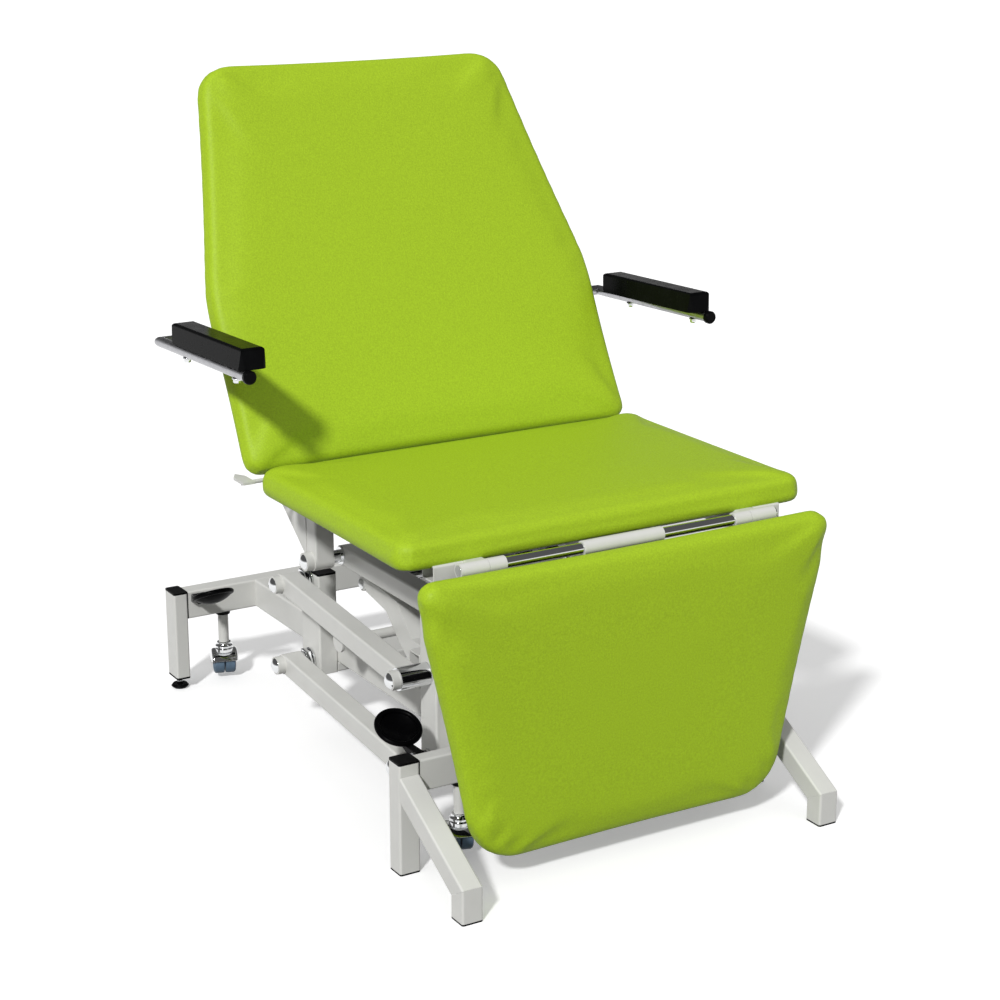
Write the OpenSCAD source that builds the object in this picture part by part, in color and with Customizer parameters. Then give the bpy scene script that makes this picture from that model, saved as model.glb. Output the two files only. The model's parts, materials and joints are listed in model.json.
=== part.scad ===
// Ultrasound table: a three-section treatment couch on a parallelogram lift
// +Z is up, the head end is at +Y, X = 0 is the plane of symmetry
// The origin is on the floor, under the middle of the footprint

/* [Base] */
// Length over the front feet and the rear legs
base_l = 1271; // [1200:1:1350]
// Width over the front legs
base_w = 790; // [770:1:900]
// How far the front feet reach in front of the front legs
foot_reach = 215; // [180:1:240]
// Size of the square front leg tube
leg_t = 40; // [36:1:42]
// Height of the top of the front leg tubes
leg_top = 206; // [196:1:230]
// Thickness of the black inserts under the front legs and feet
insert_t = 3; // [2:1:8]
// Width of the rear leg tube
rear_leg_w = 30; // [26:1:36]
// Depth of the rear leg tube
rear_leg_d = 50; // [46:1:60]
// Height of the lower end of the rear leg tubes
rear_leg_z = 29; // [26:1:40]
// Height of the top of the rear leg tubes
rear_leg_top = 213; // [205:1:235]
// Thickness of the black caps on tube ends
cap_t = 4; // [3:0.5:8]
// Black spacer between a cross-beam and a leg
spacer_t = 3; // [1:0.5:6]
// Depth of the front cross-beam
front_beam_d = 30; // [24:1:36]
// Depth of the rear cross-beam
rear_beam_d = 40; // [30:1:46]
// Height of both cross-beam tubes
beam_h = 60; // [50:1:64]
// Height of the underside of the front cross-beam
front_beam_z = 147; // [140:1:155]
// Height of the underside of the rear cross-beam
rear_beam_z = 155; // [145:1:160]
// Width of a side rail
rail_w = 40; // [30:1:50]
// Distance of the inner faces of the rails from the middle
rail_x = 157; // [150:1:160]
// Height of the rails
rail_h = 60; // [52:1:60]
// Diameter of a levelling foot
level_d = 37; // [32:1:42]

/* [Lift] */
// Distance from the front leg face to the rear posts
post_set = 662; // [640:1:690]
// Depth of a rear post
post_d = 80; // [70:1:90]
// Height of the top of a rear post
post_top = 341; // [341:1:360]
// Height of the lower rear pivot
pivot_z = 158; // [155:1:161]
// Distance between the upper and the lower arms
pivot_gap = 168; // [166:1:170]
// Length of the arms between their pivots
arm_l = 482; // [475:1:490]
// Angle by which the arms hang down to the front at rest
arm_rest = 4.7; // [4:0.1:5]
// Size of the square arm tube
arm_t = 40; // [36:1:40]
// Diameter of the arm pivot pins
pin_d = 20; // [16:1:22]
// Diameter of the chrome sleeves at the front ends of the arms
sleeve_d = 42; // [40:1:44]
// Length of the upper and lower boss on the outside of an arm
boss_l = 16; // [12:1:20]
// Distance of the lift crank bar from the rear upper pivot
crank_r = 220; // [215:1:225]
// Angle of the lift crank bar below the line of the arm
crank_angle = 10.3; // [9:0.1:12]

/* [Carriage] */
// Depth of an upright
upright_d = 60; // [52:1:64]
// Height of the tilt shaft above the upper front pivot
tilt_rise = 127.5; // [125:0.5:135]
// Distance of the tilt shaft behind the front pivots
tilt_set = 338.5; // [335:0.5:345]
// Size of the square carriage beams
beam_t = 40; // [38:1:42]
// Diameter of the tilt shaft
tilt_d = 25; // [20:1:28]
// Diameter of the tie rod between the braces
tie_d = 20; // [16:1:22]

/* [Pads] */
// Height of the underside of the pads above the tilt shaft
seat_rise = 163; // [160:1:170]
// Thickness of the pads with their boards
pad_t = 46; // [42:1:52]
// Length of the seat pad
seat_l = 563; // [550:1:575]
// Width of the seat pad
seat_w = 834; // [800:1:850]
// Length of the backrest pad
back_l = 810; // [760:1:830]
// Width of the backrest pad at its lower end
back_w = 840; // [800:1:850]
// Width of the backrest pad at its top
back_top_w = 654; // [620:1:700]
// Length of the parallel part of the backrest pad
back_straight = 331; // [280:1:360]
// Length of the legrest pad
leg_l = 528; // [500:1:535]
// Width of the legrest pad at the knee
leg_w = 854; // [830:1:870]
// Gap between the foot end of the legrest pad and each front brace
foot_side_gap = 43; // [35:1:55]
// Thickness of the wooden boards
board_t = 12; // [9:1:15]
// Height of the crown of a pad
crown = 5; // [3:0.5:8]
// How far the sides of a pad are drawn in between its corners
draw_in = 3; // [2:0.5:6]
// Angle of the backrest at rest
back_angle = 62; // [55:1:65]

/* [Armrests] */
// Distance of the armrest tubes from the middle
armrest_x = 492; // [484:1:500]
// Diameter of the armrest tube
armrest_d = 20; // [18:1:22]
// Length of the armrest pad
armpad_l = 316; // [280:1:330]
// Height of the armrest pad
armpad_h = 38; // [34:1:42]
// Width of the armrest pad
armpad_w = 53; // [48:1:58]

/* [Castors] */
// Diameter of the castor wheels
wheel_d = 50; // [46:1:52]
// Gap between the retracted wheels and the floor
wheel_gap = 10; // [6:1:14]
// Distance of the castor stems from the middle
castor_x = 265; // [262:1:280]
// Diameter of a castor stem
stem_d = 22; // [18:1:24]
// Diameter of the dished pad of a foot pedal
pedal_d = 88; // [82:1:92]
// Angle by which the pad of a foot pedal rises away from its beam
pedal_tilt = 28; // [20:1:32]
// Angle by which the castors are swivelled at rest
castor_swivel = -18; // [-30:1:30]

/* [Hidden] */
$fn = 48;

// Colours
white = [0.78, 0.78, 0.76];
lime = [0.64, 0.78, 0.18];
black = [0.08, 0.08, 0.08];
chrome = [0.82, 0.83, 0.85];
steel = [0.35, 0.35, 0.37];
ply = [0.72, 0.58, 0.40];
tyre = [0.25, 0.28, 0.34];

// Wall of the steel tubes
tube_wall = 3;
// Rounding of the edges of the steel tubes
tube_r = 4;
// Gap that a weld fills between two tubes of one frame
weld_gap = 0.2;
// Gap between pieces that turn or lie beside each other
seat_gap = 0.3;
// Radial clearance of a turning pin or sliding rod
run_fit = 0.05;
// Overrun of all cuts
over = 1;
// Thickness of brackets and lugs
plate_t = 6;
// Rounding of the lugs of brackets
lug_r = 12;
// Depth of the plugs of caps and inserts inside their tubes
plug_l = 12;

// Base
front_y = -base_l / 2;
rear_y = base_l / 2;
leg_y = front_y + foot_reach;
leg_x = base_w / 2 - leg_t / 2;
rear_leg_inset = 11;
rear_leg_x = base_w / 2 - rear_leg_inset - rear_leg_w / 2;
front_beam_y = leg_y + leg_t / 2;
rear_beam_y = rear_y - rear_leg_d / 2;
front_beam_half = leg_x - leg_t / 2 - spacer_t;
rear_beam_half = rear_leg_x - rear_leg_w / 2 - spacer_t;
rail_mid = rail_x + rail_w / 2;
rail_z = rear_beam_z;
brace_top = 185;
foot_top = 64;

// Rear posts and arms
post_t = 40;
post_x = rail_x + rail_w + post_t / 2;
post_y = leg_y + post_set;
tie_h = 20;
post_z = rail_z - tie_h;
pivot_top_z = pivot_z + pivot_gap;
arm_gap = 23;
arm_x = post_x + post_t / 2 + arm_gap + arm_t / 2;
arm_out = arm_x + arm_t / 2;
ring_t = 3;
dome_h = 8;
dome_d = 30;
boss_d = 36;
pin_in = post_x - post_t / 2;
pin_out = arm_out + boss_l;
front_y0 = post_y - arm_l * cos(arm_rest);
front_low_z = pivot_z - arm_l * sin(arm_rest);
front_up_z = front_low_z + pivot_gap;

// Lift actuator
anchor_drop = 2;
anchor_rise = 10;
anchor_y = post_y - anchor_drop;
anchor_z = rail_z + anchor_rise;
crank_bar_d = 20;
crank_rot = arm_rest + crank_angle;
crank_y = post_y - crank_r * cos(crank_rot);
crank_z = pivot_top_z - crank_r * sin(crank_rot);
lift_l = norm([crank_y - anchor_y, crank_z - anchor_z]);
lift_tube_d = 44;
lift_rod_d = 22;
lift_body_l = 172;
open_fit = 5;
eye_wall = 6;
eye_w = 24;
anchor_pin_d = 12;
motor_d = 54;
gear_set = 35;
anchor_eye_r = anchor_rise - 2 * weld_gap;
motor_l = 96;
motor_set = 52;
gear_l = 44;
lift_rod_room = 9;

// Carriage
tilt_y = front_y0 + tilt_set;
tilt_z = front_up_z + tilt_rise;
pass_gap = 2;
upright_w = post_t - pass_gap;
upright_x = post_x + pass_gap / 2;
upright_drop = 30.5;
upright_top = tilt_z - beam_t / 2;
upright_z = front_low_z - upright_drop;
cross_h = 60;
cross_d = 40;
cross_drop = 6.5;
cross_z = front_up_z - cross_drop;
cross_y = front_y0 + upright_d / 2 + cross_d / 2;
bush_set = 8;
bush_y = tilt_y - bush_set;
bush_drop = 62;
bush_z = tilt_z - bush_drop;
bush_r = 14;
brace_x = rail_mid;
brace_w = 40;

// Pads, all set out with the backrest and the legrest raised flat
seat_z = tilt_z + seat_rise;
seat_back_set = 20;
seat_back_y = tilt_y - seat_back_set;
seat_front_y = seat_back_y - seat_l;
seat_corner_r = 36;
back_hinge_set = 21;
back_hinge_y = tilt_y + back_hinge_set;
back_hinge_rise = 6;
back_hinge_z = seat_z + back_hinge_rise;
back_gap = 10.3;
back_corner_r = 34;
back_top_r = 72;
taper_r = 400;
bar_sleeve_d = 26;
leg_hinge_gap = 20;
leg_hinge_y = seat_front_y - leg_hinge_gap;
leg_hinge_drop = 7;
leg_hinge_z = seat_z - leg_hinge_drop;
leg_angle = 90;
leg_over = 5;
leg_z = leg_hinge_z + bar_sleeve_d / 2 + seat_gap;
leg_top_y = leg_hinge_y + leg_over;
leg_foot_w = base_w - 2 * leg_t - 2 * foot_side_gap;
leg_knee_r = 30;
leg_foot_r = 100;
leg_bow_r = 300;
board_inset = 24;
edge_r = 18;
pocket_gap = 0.3;

// Seat frame
frame_h = 40;
seat_rail_x = arm_x;
seat_rail_w = arm_t;
seat_rail_back = 135;
seat_rail_front = 6;
flat_h = 20;
cross_w = 40;
hanger_t = 40;
bar_d = 20;
bar_out = 324;
outer_sleeve_x = 270;
out_x = 357;
out_h = 30;
leg_sleeve_in = 236;
mid_sleeve = 82;
hinge_pin_d = 12;
hinge_ear_t = 5;
hinge_ear_r = 10;

// Struts, each set out between its two pins
strut_lug_t = 5;
strut_pin_d = 10;
strut_eye_r = 9;
strut_eye_w = 12;
tilt_foot_rise = 20;
tilt_foot_y = cross_y;
tilt_foot_z = cross_z + cross_h / 2 + tilt_foot_rise;
tilt_head_set = 276;
tilt_head_drop = 6;
tilt_head_y = tilt_y - tilt_head_set;
tilt_head_z = seat_z - frame_h - tilt_head_drop;
tilt_tube_d = 34;
tilt_tube_l = 150;
tilt_rod_d = 11;
back_foot_set = 30;
back_foot_drop = 17;
back_foot_y = tilt_y + back_foot_set;
back_foot_z = seat_z - frame_h - back_foot_drop;
back_crank_r = 160;
back_crank_angle = 12;
back_tube_d = 18;
back_tube_l = 112;
back_rod_d = 10;
back_open_fit = 6;
back_rod_start = 80;
leg_foot_set = 260;
leg_strut_y = tilt_y - leg_foot_set;
leg_crank_r = 45;
leg_crank_angle = 45;
leg_strut_z = leg_hinge_z - leg_crank_r * (1 + cos(leg_crank_angle)) / 2;
leg_tube_d = 22;
leg_tube_l = 232;
leg_rod_d = 10;
leg_open_fit = 8;
leg_strut_x = 66;

// Backrest and legrest frames
back_rail_w = 40;
back_rail_x = seat_rail_x - seat_rail_w / 2 - plate_t - back_rail_w / 2;
back_frame_h = 30;
back_rail_start = 25;
back_rail_end = 60;
back_cross_set = 168;
armrest_set = 292;
armrest_drop = 64;
socket_wall = 5;
leg_frame_h = 30;
leg_cross_h = 25;
leg_rail_w = 30;
leg_rail_x = 241;
leg_rail_start = 40;
leg_rail_end = 60;

// Armrests
armrest_rest = 1.77;
armrest_run = 392;
armpad_set = 5;
armpad_rise = 0.5;
armpad_shift = 14.5;
armpad_corner_r = 14;
armpad_edge_r = 6;
armpad_top_share = 0.84;
armpad_end_draft = 5;
armrest_cap_l = 14;
armrest_cap_d = 25;

// Castors and pedals
stem_fit = 0.05;
collar_d = 34;
collar_h = 8;
hood_d = 56;
castor_trail = 8;
castor_h = 74;
tyre_w = 16;
hood_half = 24;
axle_d = 8;
castor_front_y = front_beam_y;
castor_rear_y = rear_beam_y;
axle_z = wheel_gap + wheel_d / 2;
hood_top = wheel_gap + castor_h;
stem_into_beam = 40;
pedal_x = 331;
pedal_pin_d = 8;
pedal_pin_set = 10;
pedal_pin_drop = 12;
pedal_reach = 76;
pedal_rise = 28;
pedal_neck_w = 16;
pedal_bowl_h = 18;
pedal_wall = 6;
pedal_rim_r = 5;

// Sections and placing

module bar_section(w, h, r = tube_r) {
  square([w - 2 * r, h], center = true);
  square([w, h - 2 * r], center = true);
  for (i = [-1, 1], j = [-1, 1])
    translate([i * (w / 2 - r), j * (h / 2 - r)]) circle(r = r);
}

module tube_section(w, h) {
  difference() {
    bar_section(w, h);
    square([w - 2 * tube_wall, h - 2 * tube_wall], center = true);
  }
}

// A 2D shape drawn in Y and Z, thickened along X
module across(x0, w) {
  translate([x0, 0, 0]) rotate([90, 0, 90]) linear_extrude(w) children();
}

// A 2D shape drawn in X and Z, thickened along Y
module lengthwise(y0, l) {
  translate([0, y0 + l, 0]) rotate([90, 0, 0]) linear_extrude(l) children();
}

// A 2D shape drawn in X and Y, thickened along Z
module upward(z0, h) {
  translate([0, 0, z0]) linear_extrude(h) children();
}

// A round bar or disc along X at a place in Y and Z
module rod_x(x0, x1, y, z, d) {
  translate([x0, y, z]) rotate([0, 90, 0]) cylinder(d = d, h = x1 - x0);
}

module ring_x(x0, x1, y, z, d, hole) {
  difference() {
    rod_x(x0, x1, y, z, d);
    rod_x(x0 - over, x1 + over, y, z, hole);
  }
}

module pair() {
  children();
  mirror([1, 0, 0]) children();
}

// Turns the children about a line along X
module turned(angle, y, z) {
  translate([0, y, z]) rotate([angle, 0, 0]) translate([0, -y, -z]) children();
}

// The shallow chrome dome on the end of a pin
module dome(x, y, z) {
  ball_r = (dome_d * dome_d / 4 + dome_h * dome_h) / (2 * dome_h);
  translate([x, y, z]) rotate([0, 90, 0]) rotate_extrude() intersection() {
    translate([0, dome_h - ball_r]) circle(r = ball_r);
    square([dome_d / 2, dome_h]);
  }
}

// Rounded outlines: each point is given with its outward normal and its draw-in share

function turn(v, a) = [v[0] * cos(a) - v[1] * sin(a), v[0] * sin(a) + v[1] * cos(a)];
function unit(v) = v / norm(v);
function out(v) = [v[1], -v[0]];
function wrap(list, i) = list[(i + len(list)) % len(list)];
function edge(p, i) = unit(wrap(p, i + 1) - wrap(p, i));
function bend(p, i) = atan2(cross(edge(p, i - 1), edge(p, i)), edge(p, i - 1) * edge(p, i));
function reach(p, r, i) = wrap(r, i) * tan(bend(p, (i + len(p)) % len(p)) / 2);
function arc_mid(p, r, i) = p[i] - edge(p, i - 1) * reach(p, r, i) - out(edge(p, i - 1)) * r[i];
function rim(p, r, arc, side) = [
  for (i = [0 : len(p) - 1]) each concat(
    [for (j = [0 : arc]) let (n = turn(out(edge(p, i - 1)), bend(p, i) * j / arc))
      [arc_mid(p, r, i) + n * r[i], n, 0]],
    [for (j = [1 : side - 1])
      let (a = p[i] + edge(p, i) * reach(p, r, i), b = wrap(p, i + 1) - edge(p, i) * reach(p, r, i + 1))
      [a + (b - a) * j / side, out(edge(p, i)), sin(180 * j / side)]]
  )
];
function rim_points(rim, inset) = [for (q = rim) q[0] - q[1] * inset];

// An upholstered pad in one closed skin: a pocket below holds the board, the sides swell
// between a rolled lower and upper edge and are drawn in between the corners, the top is crowned
module pad_form(outline, radii, arc, side, middle) {
  rim = rim(outline, radii, arc, side);
  n = len(rim);
  roll = [for (a = [0 : 22.5 : 90]) [edge_r * (1 - cos(a)), pad_t - edge_r + edge_r * sin(a)]];
  profile = concat(
    [[board_inset, board_t + pocket_gap], [board_inset, 0], [edge_r / 2, 0], [edge_r / 6, edge_r / 3]],
    [[0, pad_t / 2]],
    roll
  );
  crown_shares = [0.94, 0.8, 0.55, 0.28];
  rings = concat(
    [for (s = profile) [for (q = rim)
      [each q[0] - q[1] * (s[0] + (s[1] > 0 && s[0] < board_inset ? draw_in * q[2] : 0)), s[1]]]],
    [for (k = crown_shares) [for (q = rim)
      [each middle + (q[0] - q[1] * (edge_r + draw_in * q[2]) - middle) * k, pad_t + crown * (1 - k * k)]]]
  );
  last = len(rings) - 1;
  points = concat(
    [for (ring = rings) each ring],
    [[each middle, board_t + pocket_gap], [each middle, pad_t + crown]]
  );
  faces = concat(
    [for (i = [0 : n - 1]) [len(points) - 2, i, (i + 1) % n]],
    [for (r = [0 : last - 1], i = [0 : n - 1]) each
      let (a = r * n + i, b = r * n + (i + 1) % n, c = a + n, d = b + n) [[a, c, b], [b, c, d]]],
    [for (i = [0 : n - 1]) [len(points) - 1, last * n + (i + 1) % n, last * n + i]]
  );
  polyhedron(points = points, faces = faces);
}

// The board that fills the pocket of a pad
module board_form(outline, radii, arc) {
  linear_extrude(board_t) polygon(rim_points(rim(outline, radii, arc, 1), board_inset + pocket_gap));
}

seat_outline = [
  [seat_w / 2, seat_front_y], [seat_w / 2, seat_back_y],
  [-seat_w / 2, seat_back_y], [-seat_w / 2, seat_front_y]
];
seat_radii = [for (i = [1 : 4]) seat_corner_r];

back_y = back_hinge_y + back_gap;
back_outline = [
  [back_w / 2, back_y], [back_w / 2, back_y + back_straight], [back_top_w / 2, back_y + back_l],
  [-back_top_w / 2, back_y + back_l], [-back_w / 2, back_y + back_straight], [-back_w / 2, back_y]
];
back_radii = [back_corner_r, taper_r, back_top_r, back_top_r, taper_r, back_corner_r];

// Shares of the legrest's length and of its loss of width at the bow of its sides
leg_bow_shares = [0.2, 0.165];
leg_bow_y = leg_top_y - leg_l * leg_bow_shares[0];
leg_bow_w = leg_w - (leg_w - leg_foot_w) * leg_bow_shares[1];
leg_outline = [
  [leg_foot_w / 2, leg_top_y - leg_l], [leg_bow_w / 2, leg_bow_y], [leg_w / 2, leg_top_y],
  [-leg_w / 2, leg_top_y], [-leg_bow_w / 2, leg_bow_y], [-leg_foot_w / 2, leg_top_y - leg_l]
];
leg_radii = [leg_foot_r, leg_bow_r, leg_knee_r, leg_knee_r, leg_bow_r, leg_foot_r];

// Base

module front_crossbeam() {
  color(white) difference() {
    across(-front_beam_half, 2 * front_beam_half)
      translate([front_beam_y, front_beam_z + beam_h / 2]) tube_section(front_beam_d, beam_h);
    pair() stem_bore(front_beam_y);
  }
}

module stem_bore(y) {
  translate([castor_x, y, 0]) cylinder(d = stem_d + 2 * stem_fit, h = rear_beam_z + beam_h - tube_wall - over);
}

module rear_crossbeam() {
  color(white) difference() {
    across(-rear_beam_half, 2 * rear_beam_half)
      translate([rear_beam_y, rear_beam_z + beam_h / 2]) tube_section(rear_beam_d, beam_h);
    pair() stem_bore(castor_rear_y);
  }
}

module side_rails() {
  rail_from = front_beam_y + front_beam_d / 2;
  rail_to = rear_beam_y - rear_beam_d / 2;
  color(white) pair() lengthwise(rail_from, rail_to - rail_from)
    translate([rail_mid, rail_z + rail_h / 2]) tube_section(rail_w, rail_h);
}

module rear_posts() {
  color(white) {
    pair() difference() {
      upward(post_z, post_top - post_z) translate([post_x, post_y]) tube_section(post_t, post_d);
      for (z = [pivot_z, pivot_top_z])
        rod_x(pin_in - over, post_x + post_t, post_y, z, pin_d + 2 * run_fit);
    }
    across(-pin_in + weld_gap, 2 * (pin_in - weld_gap))
      translate([post_y, post_z + tie_h / 2]) tube_section(post_d, tie_h);
  }
}

module front_legs() {
  color(white) pair() upward(insert_t, leg_top - insert_t)
    translate([leg_x, leg_y + leg_t / 2]) tube_section(leg_t, leg_t);
}

// A slanting brace and its short foot, mitred where they meet
module front_braces() {
  slope = atan2(brace_top - foot_top, foot_reach);
  brace_l = foot_reach / cos(slope);
  mitre = (90 - slope) / 2;
  color(white) pair() {
    difference() {
      translate([leg_x, leg_y, brace_top]) rotate([slope, 0, 0]) translate([0, 0, -leg_t / 2])
        lengthwise(-brace_l - leg_t, brace_l + 2 * leg_t) tube_section(leg_t, leg_t);
      translate([leg_x - leg_t, leg_y - weld_gap, 0]) cube([2 * leg_t, 2 * leg_t, leg_top + leg_t]);
      translate([leg_x, front_y, foot_top]) rotate([-mitre, 0, 0])
        translate([-leg_t, -leg_t, -2 * leg_t + weld_gap / 2]) cube([2 * leg_t, 3 * leg_t, 2 * leg_t]);
    }
    difference() {
      upward(insert_t, foot_top) translate([leg_x, front_y + leg_t / 2]) tube_section(leg_t, leg_t);
      translate([leg_x, front_y, foot_top]) rotate([-mitre, 0, 0])
        translate([-leg_t, -leg_t, -weld_gap / 2]) cube([2 * leg_t, 3 * leg_t, 2 * leg_t]);
    }
  }
}

module rear_legs() {
  color(white) pair() upward(rear_leg_z, rear_leg_top - rear_leg_z)
    translate([rear_leg_x, rear_beam_y]) tube_section(rear_leg_w, rear_leg_d);
}

// A black cap with a plug that goes into its tube, the flange at z and up
module cap(w, d, t, plug = plug_l) {
  linear_extrude(t) bar_section(w, d);
  plug_w = w - 2 * tube_wall - 2 * seat_gap;
  plug_d = d - 2 * tube_wall - 2 * seat_gap;
  translate([0, 0, -plug]) linear_extrude(plug + t / 2) square([plug_w, plug_d], center = true);
}

module tube_caps() {
  color(black) pair() {
    translate([leg_x, leg_y + leg_t / 2, leg_top]) cap(leg_t, leg_t, cap_t);
    translate([rear_leg_x, rear_beam_y, rear_leg_top]) cap(rear_leg_w, rear_leg_d, cap_t);
    translate([post_x, post_y, post_top]) cap(post_t, post_d, cap_t, cap_t);
  }
}

module foot_inserts() {
  color(black) pair() {
    translate([leg_x, leg_y + leg_t / 2, insert_t]) mirror([0, 0, 1]) cap(leg_t, leg_t, insert_t);
    translate([leg_x, front_y + leg_t / 2, insert_t]) mirror([0, 0, 1]) cap(leg_t, leg_t, insert_t);
    difference() {
      translate([rear_leg_x, rear_beam_y, rear_leg_z]) mirror([0, 0, 1]) cap(rear_leg_w, rear_leg_d, cap_t);
      translate([rear_leg_x, rear_beam_y, 0])
        cylinder(d = level_stud_d + 2 * run_fit, h = rear_leg_z + plug_l + over);
    }
  }
}

module beam_end_caps() {
  color(black) pair() {
    translate([front_beam_half, front_beam_y, front_beam_z + beam_h / 2])
      rotate([90, 0, 90]) cap(front_beam_d, beam_h, spacer_t);
    translate([rear_beam_half, rear_beam_y, rear_beam_z + beam_h / 2])
      rotate([90, 0, 90]) cap(rear_beam_d, beam_h, spacer_t);
  }
}

// A plate on the inner face of a cross-beam, with two ears and the pivot pin of a pedal
module pedal_bracket(beam_face, side, top) {
  pin_y = beam_face + side * pedal_pin_set;
  pin_z = top - pedal_pin_drop;
  half = pedal_neck_w / 2 + seat_gap;
  far = half + strut_lug_t;
  plate = 2 * seat_gap;
  difference() {
    for (x = [pedal_x - far, pedal_x + half]) {
      rod_x(x, x + strut_lug_t, pin_y, pin_z, 2 * pedal_pin_set - 2 * plate);
      translate([x, min(beam_face + side * plate, pin_y), pin_z - pedal_pin_set])
        cube([strut_lug_t, pedal_pin_set - plate, pedal_pin_set]);
    }
    rod_x(pedal_x - pedal_d, pedal_x + pedal_d, pin_y, pin_z, pedal_pin_d + 2 * run_fit);
  }
  rod_x(pedal_x - far - over, pedal_x + far + over, pin_y, pin_z, pedal_pin_d);
}

module pedal_brackets() {
  color(steel) pair() {
    pedal_bracket(front_beam_y + front_beam_d / 2, 1, front_beam_z + beam_h);
    pedal_bracket(rear_beam_y - rear_beam_d / 2, -1, rear_beam_z + beam_h);
  }
}

module castor_collar(y, z) {
  translate([castor_x, y, z - collar_h]) difference() {
    cylinder(d1 = collar_d - collar_h / 2, d2 = collar_d, h = collar_h);
    translate([0, 0, -over]) cylinder(d = stem_d + 2 * stem_fit, h = collar_h + 2 * over);
  }
}

module castor_collars() {
  color(black) pair() {
    castor_collar(castor_front_y, front_beam_z);
    castor_collar(castor_rear_y, rear_beam_z);
  }
}

module rear_pivot_pins() {
  color(chrome) pair() for (z = [pivot_z, pivot_top_z]) {
    rod_x(pin_in, pin_out, post_y, z, pin_d);
    rod_x(post_x + post_t / 2, arm_x - arm_t / 2 - seat_gap, post_y, z, boss_d);
    dome(pin_out, post_y, z);
  }
}

// Two lugs on the post tie with the pin of the lift actuator
module actuator_mount() {
  half = eye_w / 2 + seat_gap;
  color(steel) difference() {
    union() {
      for (x = [-half - plate_t, half]) across(x, plate_t) {
        translate([anchor_y - lug_r, rail_z]) square([2 * lug_r, anchor_z - rail_z]);
        translate([anchor_y, anchor_z]) circle(r = lug_r);
      }
      rod_x(-half - plate_t - over, half + plate_t + over, anchor_y, anchor_z, anchor_pin_d);
    }
    translate([-half - 2 * plate_t, anchor_y - 2 * lug_r, rail_z - lug_r]) cube([4 * half, 4 * lug_r, lug_r]);
  }
}

level_disc_h = 9;
level_stud_d = 12;
level_base_share = 0.76;
module levelling_foot(side) {
  color(black) translate([side * rear_leg_x, rear_beam_y, 0]) {
    cylinder(d1 = level_d * level_base_share, d2 = level_d, h = level_disc_h / 2);
    translate([0, 0, level_disc_h / 2])
      cylinder(d1 = level_d, d2 = level_stud_d + 2 * level_disc_h, h = level_disc_h / 2);
    cylinder(d = level_stud_d, h = rear_leg_z + plug_l);
  }
}

module left_levelling_foot() {
  levelling_foot(-1);
}

module right_levelling_foot() {
  levelling_foot(1);
}

// Arms, drawn along -Y from their rear pivot and turned down to the front

module arm_tube() {
  reach = arm_l - sleeve_d / 2 + sleeve_d / 4;
  difference() {
    union() {
      lengthwise(-reach, reach) translate([arm_x, 0]) tube_section(arm_t, arm_t);
      rod_x(arm_x - arm_t / 2, arm_x + arm_t / 2, 0, 0, arm_t);
      rod_x(arm_x, arm_out + boss_l - seat_gap, 0, 0, boss_d);
    }
    rod_x(arm_x - arm_t, arm_out + 2 * boss_l, 0, 0, pin_d + 2 * run_fit);
    rod_x(arm_x - arm_t, arm_out + 2 * boss_l, -arm_l, 0, sleeve_d + 2 * weld_gap);
  }
  ring_x(arm_out + weld_gap, pin_out - seat_gap, -arm_l, 0, boss_d, pin_d + 2 * run_fit);
}

module arm_sleeve() {
  ring_x(post_x + post_t / 2 + ring_t + seat_gap, arm_out, -arm_l, 0, sleeve_d, pin_d + 2 * run_fit);
}

module at_arm(z) {
  translate([0, post_y, z]) rotate([arm_rest, 0, 0]) children();
}

// The crank bar of the lift hangs on two lugs under the arms
module upper_arms() {
  color(white) {
    at_arm(pivot_top_z) pair() arm_tube();
    at_arm(pivot_top_z) {
      along = -crank_r * cos(crank_angle);
      below = -crank_r * sin(crank_angle);
      rod_x(-arm_x + plate_t / 2 + weld_gap, arm_x - plate_t / 2 - weld_gap, along, below, crank_bar_d);
      pair() across(arm_x - plate_t / 2, plate_t) {
        translate([along, below]) circle(r = crank_bar_d);
        translate([along - crank_bar_d, below])
          square([2 * crank_bar_d, -below - arm_t / 2 - weld_gap]);
      }
    }
  }
}

module upper_arm_sleeves() {
  color(chrome) at_arm(pivot_top_z) pair() arm_sleeve();
}

module lower_arms() {
  color(white) at_arm(pivot_z) pair() {
    arm_tube();
    arm_sleeve();
  }
}

// Carriage

module carriage_frame() {
  color(white) {
    pair() difference() {
      upward(upright_z, upright_top - upright_z - weld_gap)
        translate([upright_x, front_y0]) tube_section(upright_w, upright_d);
      for (z = [front_low_z, front_up_z])
        rod_x(pin_in - over, post_x + post_t, front_y0, z, pin_d + 2 * run_fit);
    }
    pair() difference() {
      union() {
        lengthwise(front_y0 - upright_d / 2, tilt_y - front_y0 + upright_d / 2)
          translate([upright_x, tilt_z]) tube_section(upright_w, beam_t);
        rod_x(upright_x - upright_w / 2, upright_x + upright_w / 2, tilt_y, tilt_z, beam_t);
      }
      rod_x(post_x - upright_w, post_x + upright_w, tilt_y, tilt_z, tilt_d + 2 * run_fit);
    }
    across(-upright_x - upright_w / 2, 2 * upright_x + upright_w)
      translate([cross_y + weld_gap, cross_z]) tube_section(cross_d, cross_h);
    tilt_foot_lugs();
  }
}

module tilt_foot_lugs() {
  half = strut_eye_w / 2 + seat_gap;
  top = cross_z + cross_h / 2 + weld_gap;
  for (x = [-half - strut_lug_t, half]) across(x, strut_lug_t) {
    translate([tilt_foot_y - lug_r, top]) square([2 * lug_r, tilt_foot_z - top]);
    translate([tilt_foot_y, tilt_foot_z]) circle(r = lug_r);
  }
  rod_x(-half, half, tilt_foot_y, tilt_foot_z, strut_pin_d);
}

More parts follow.
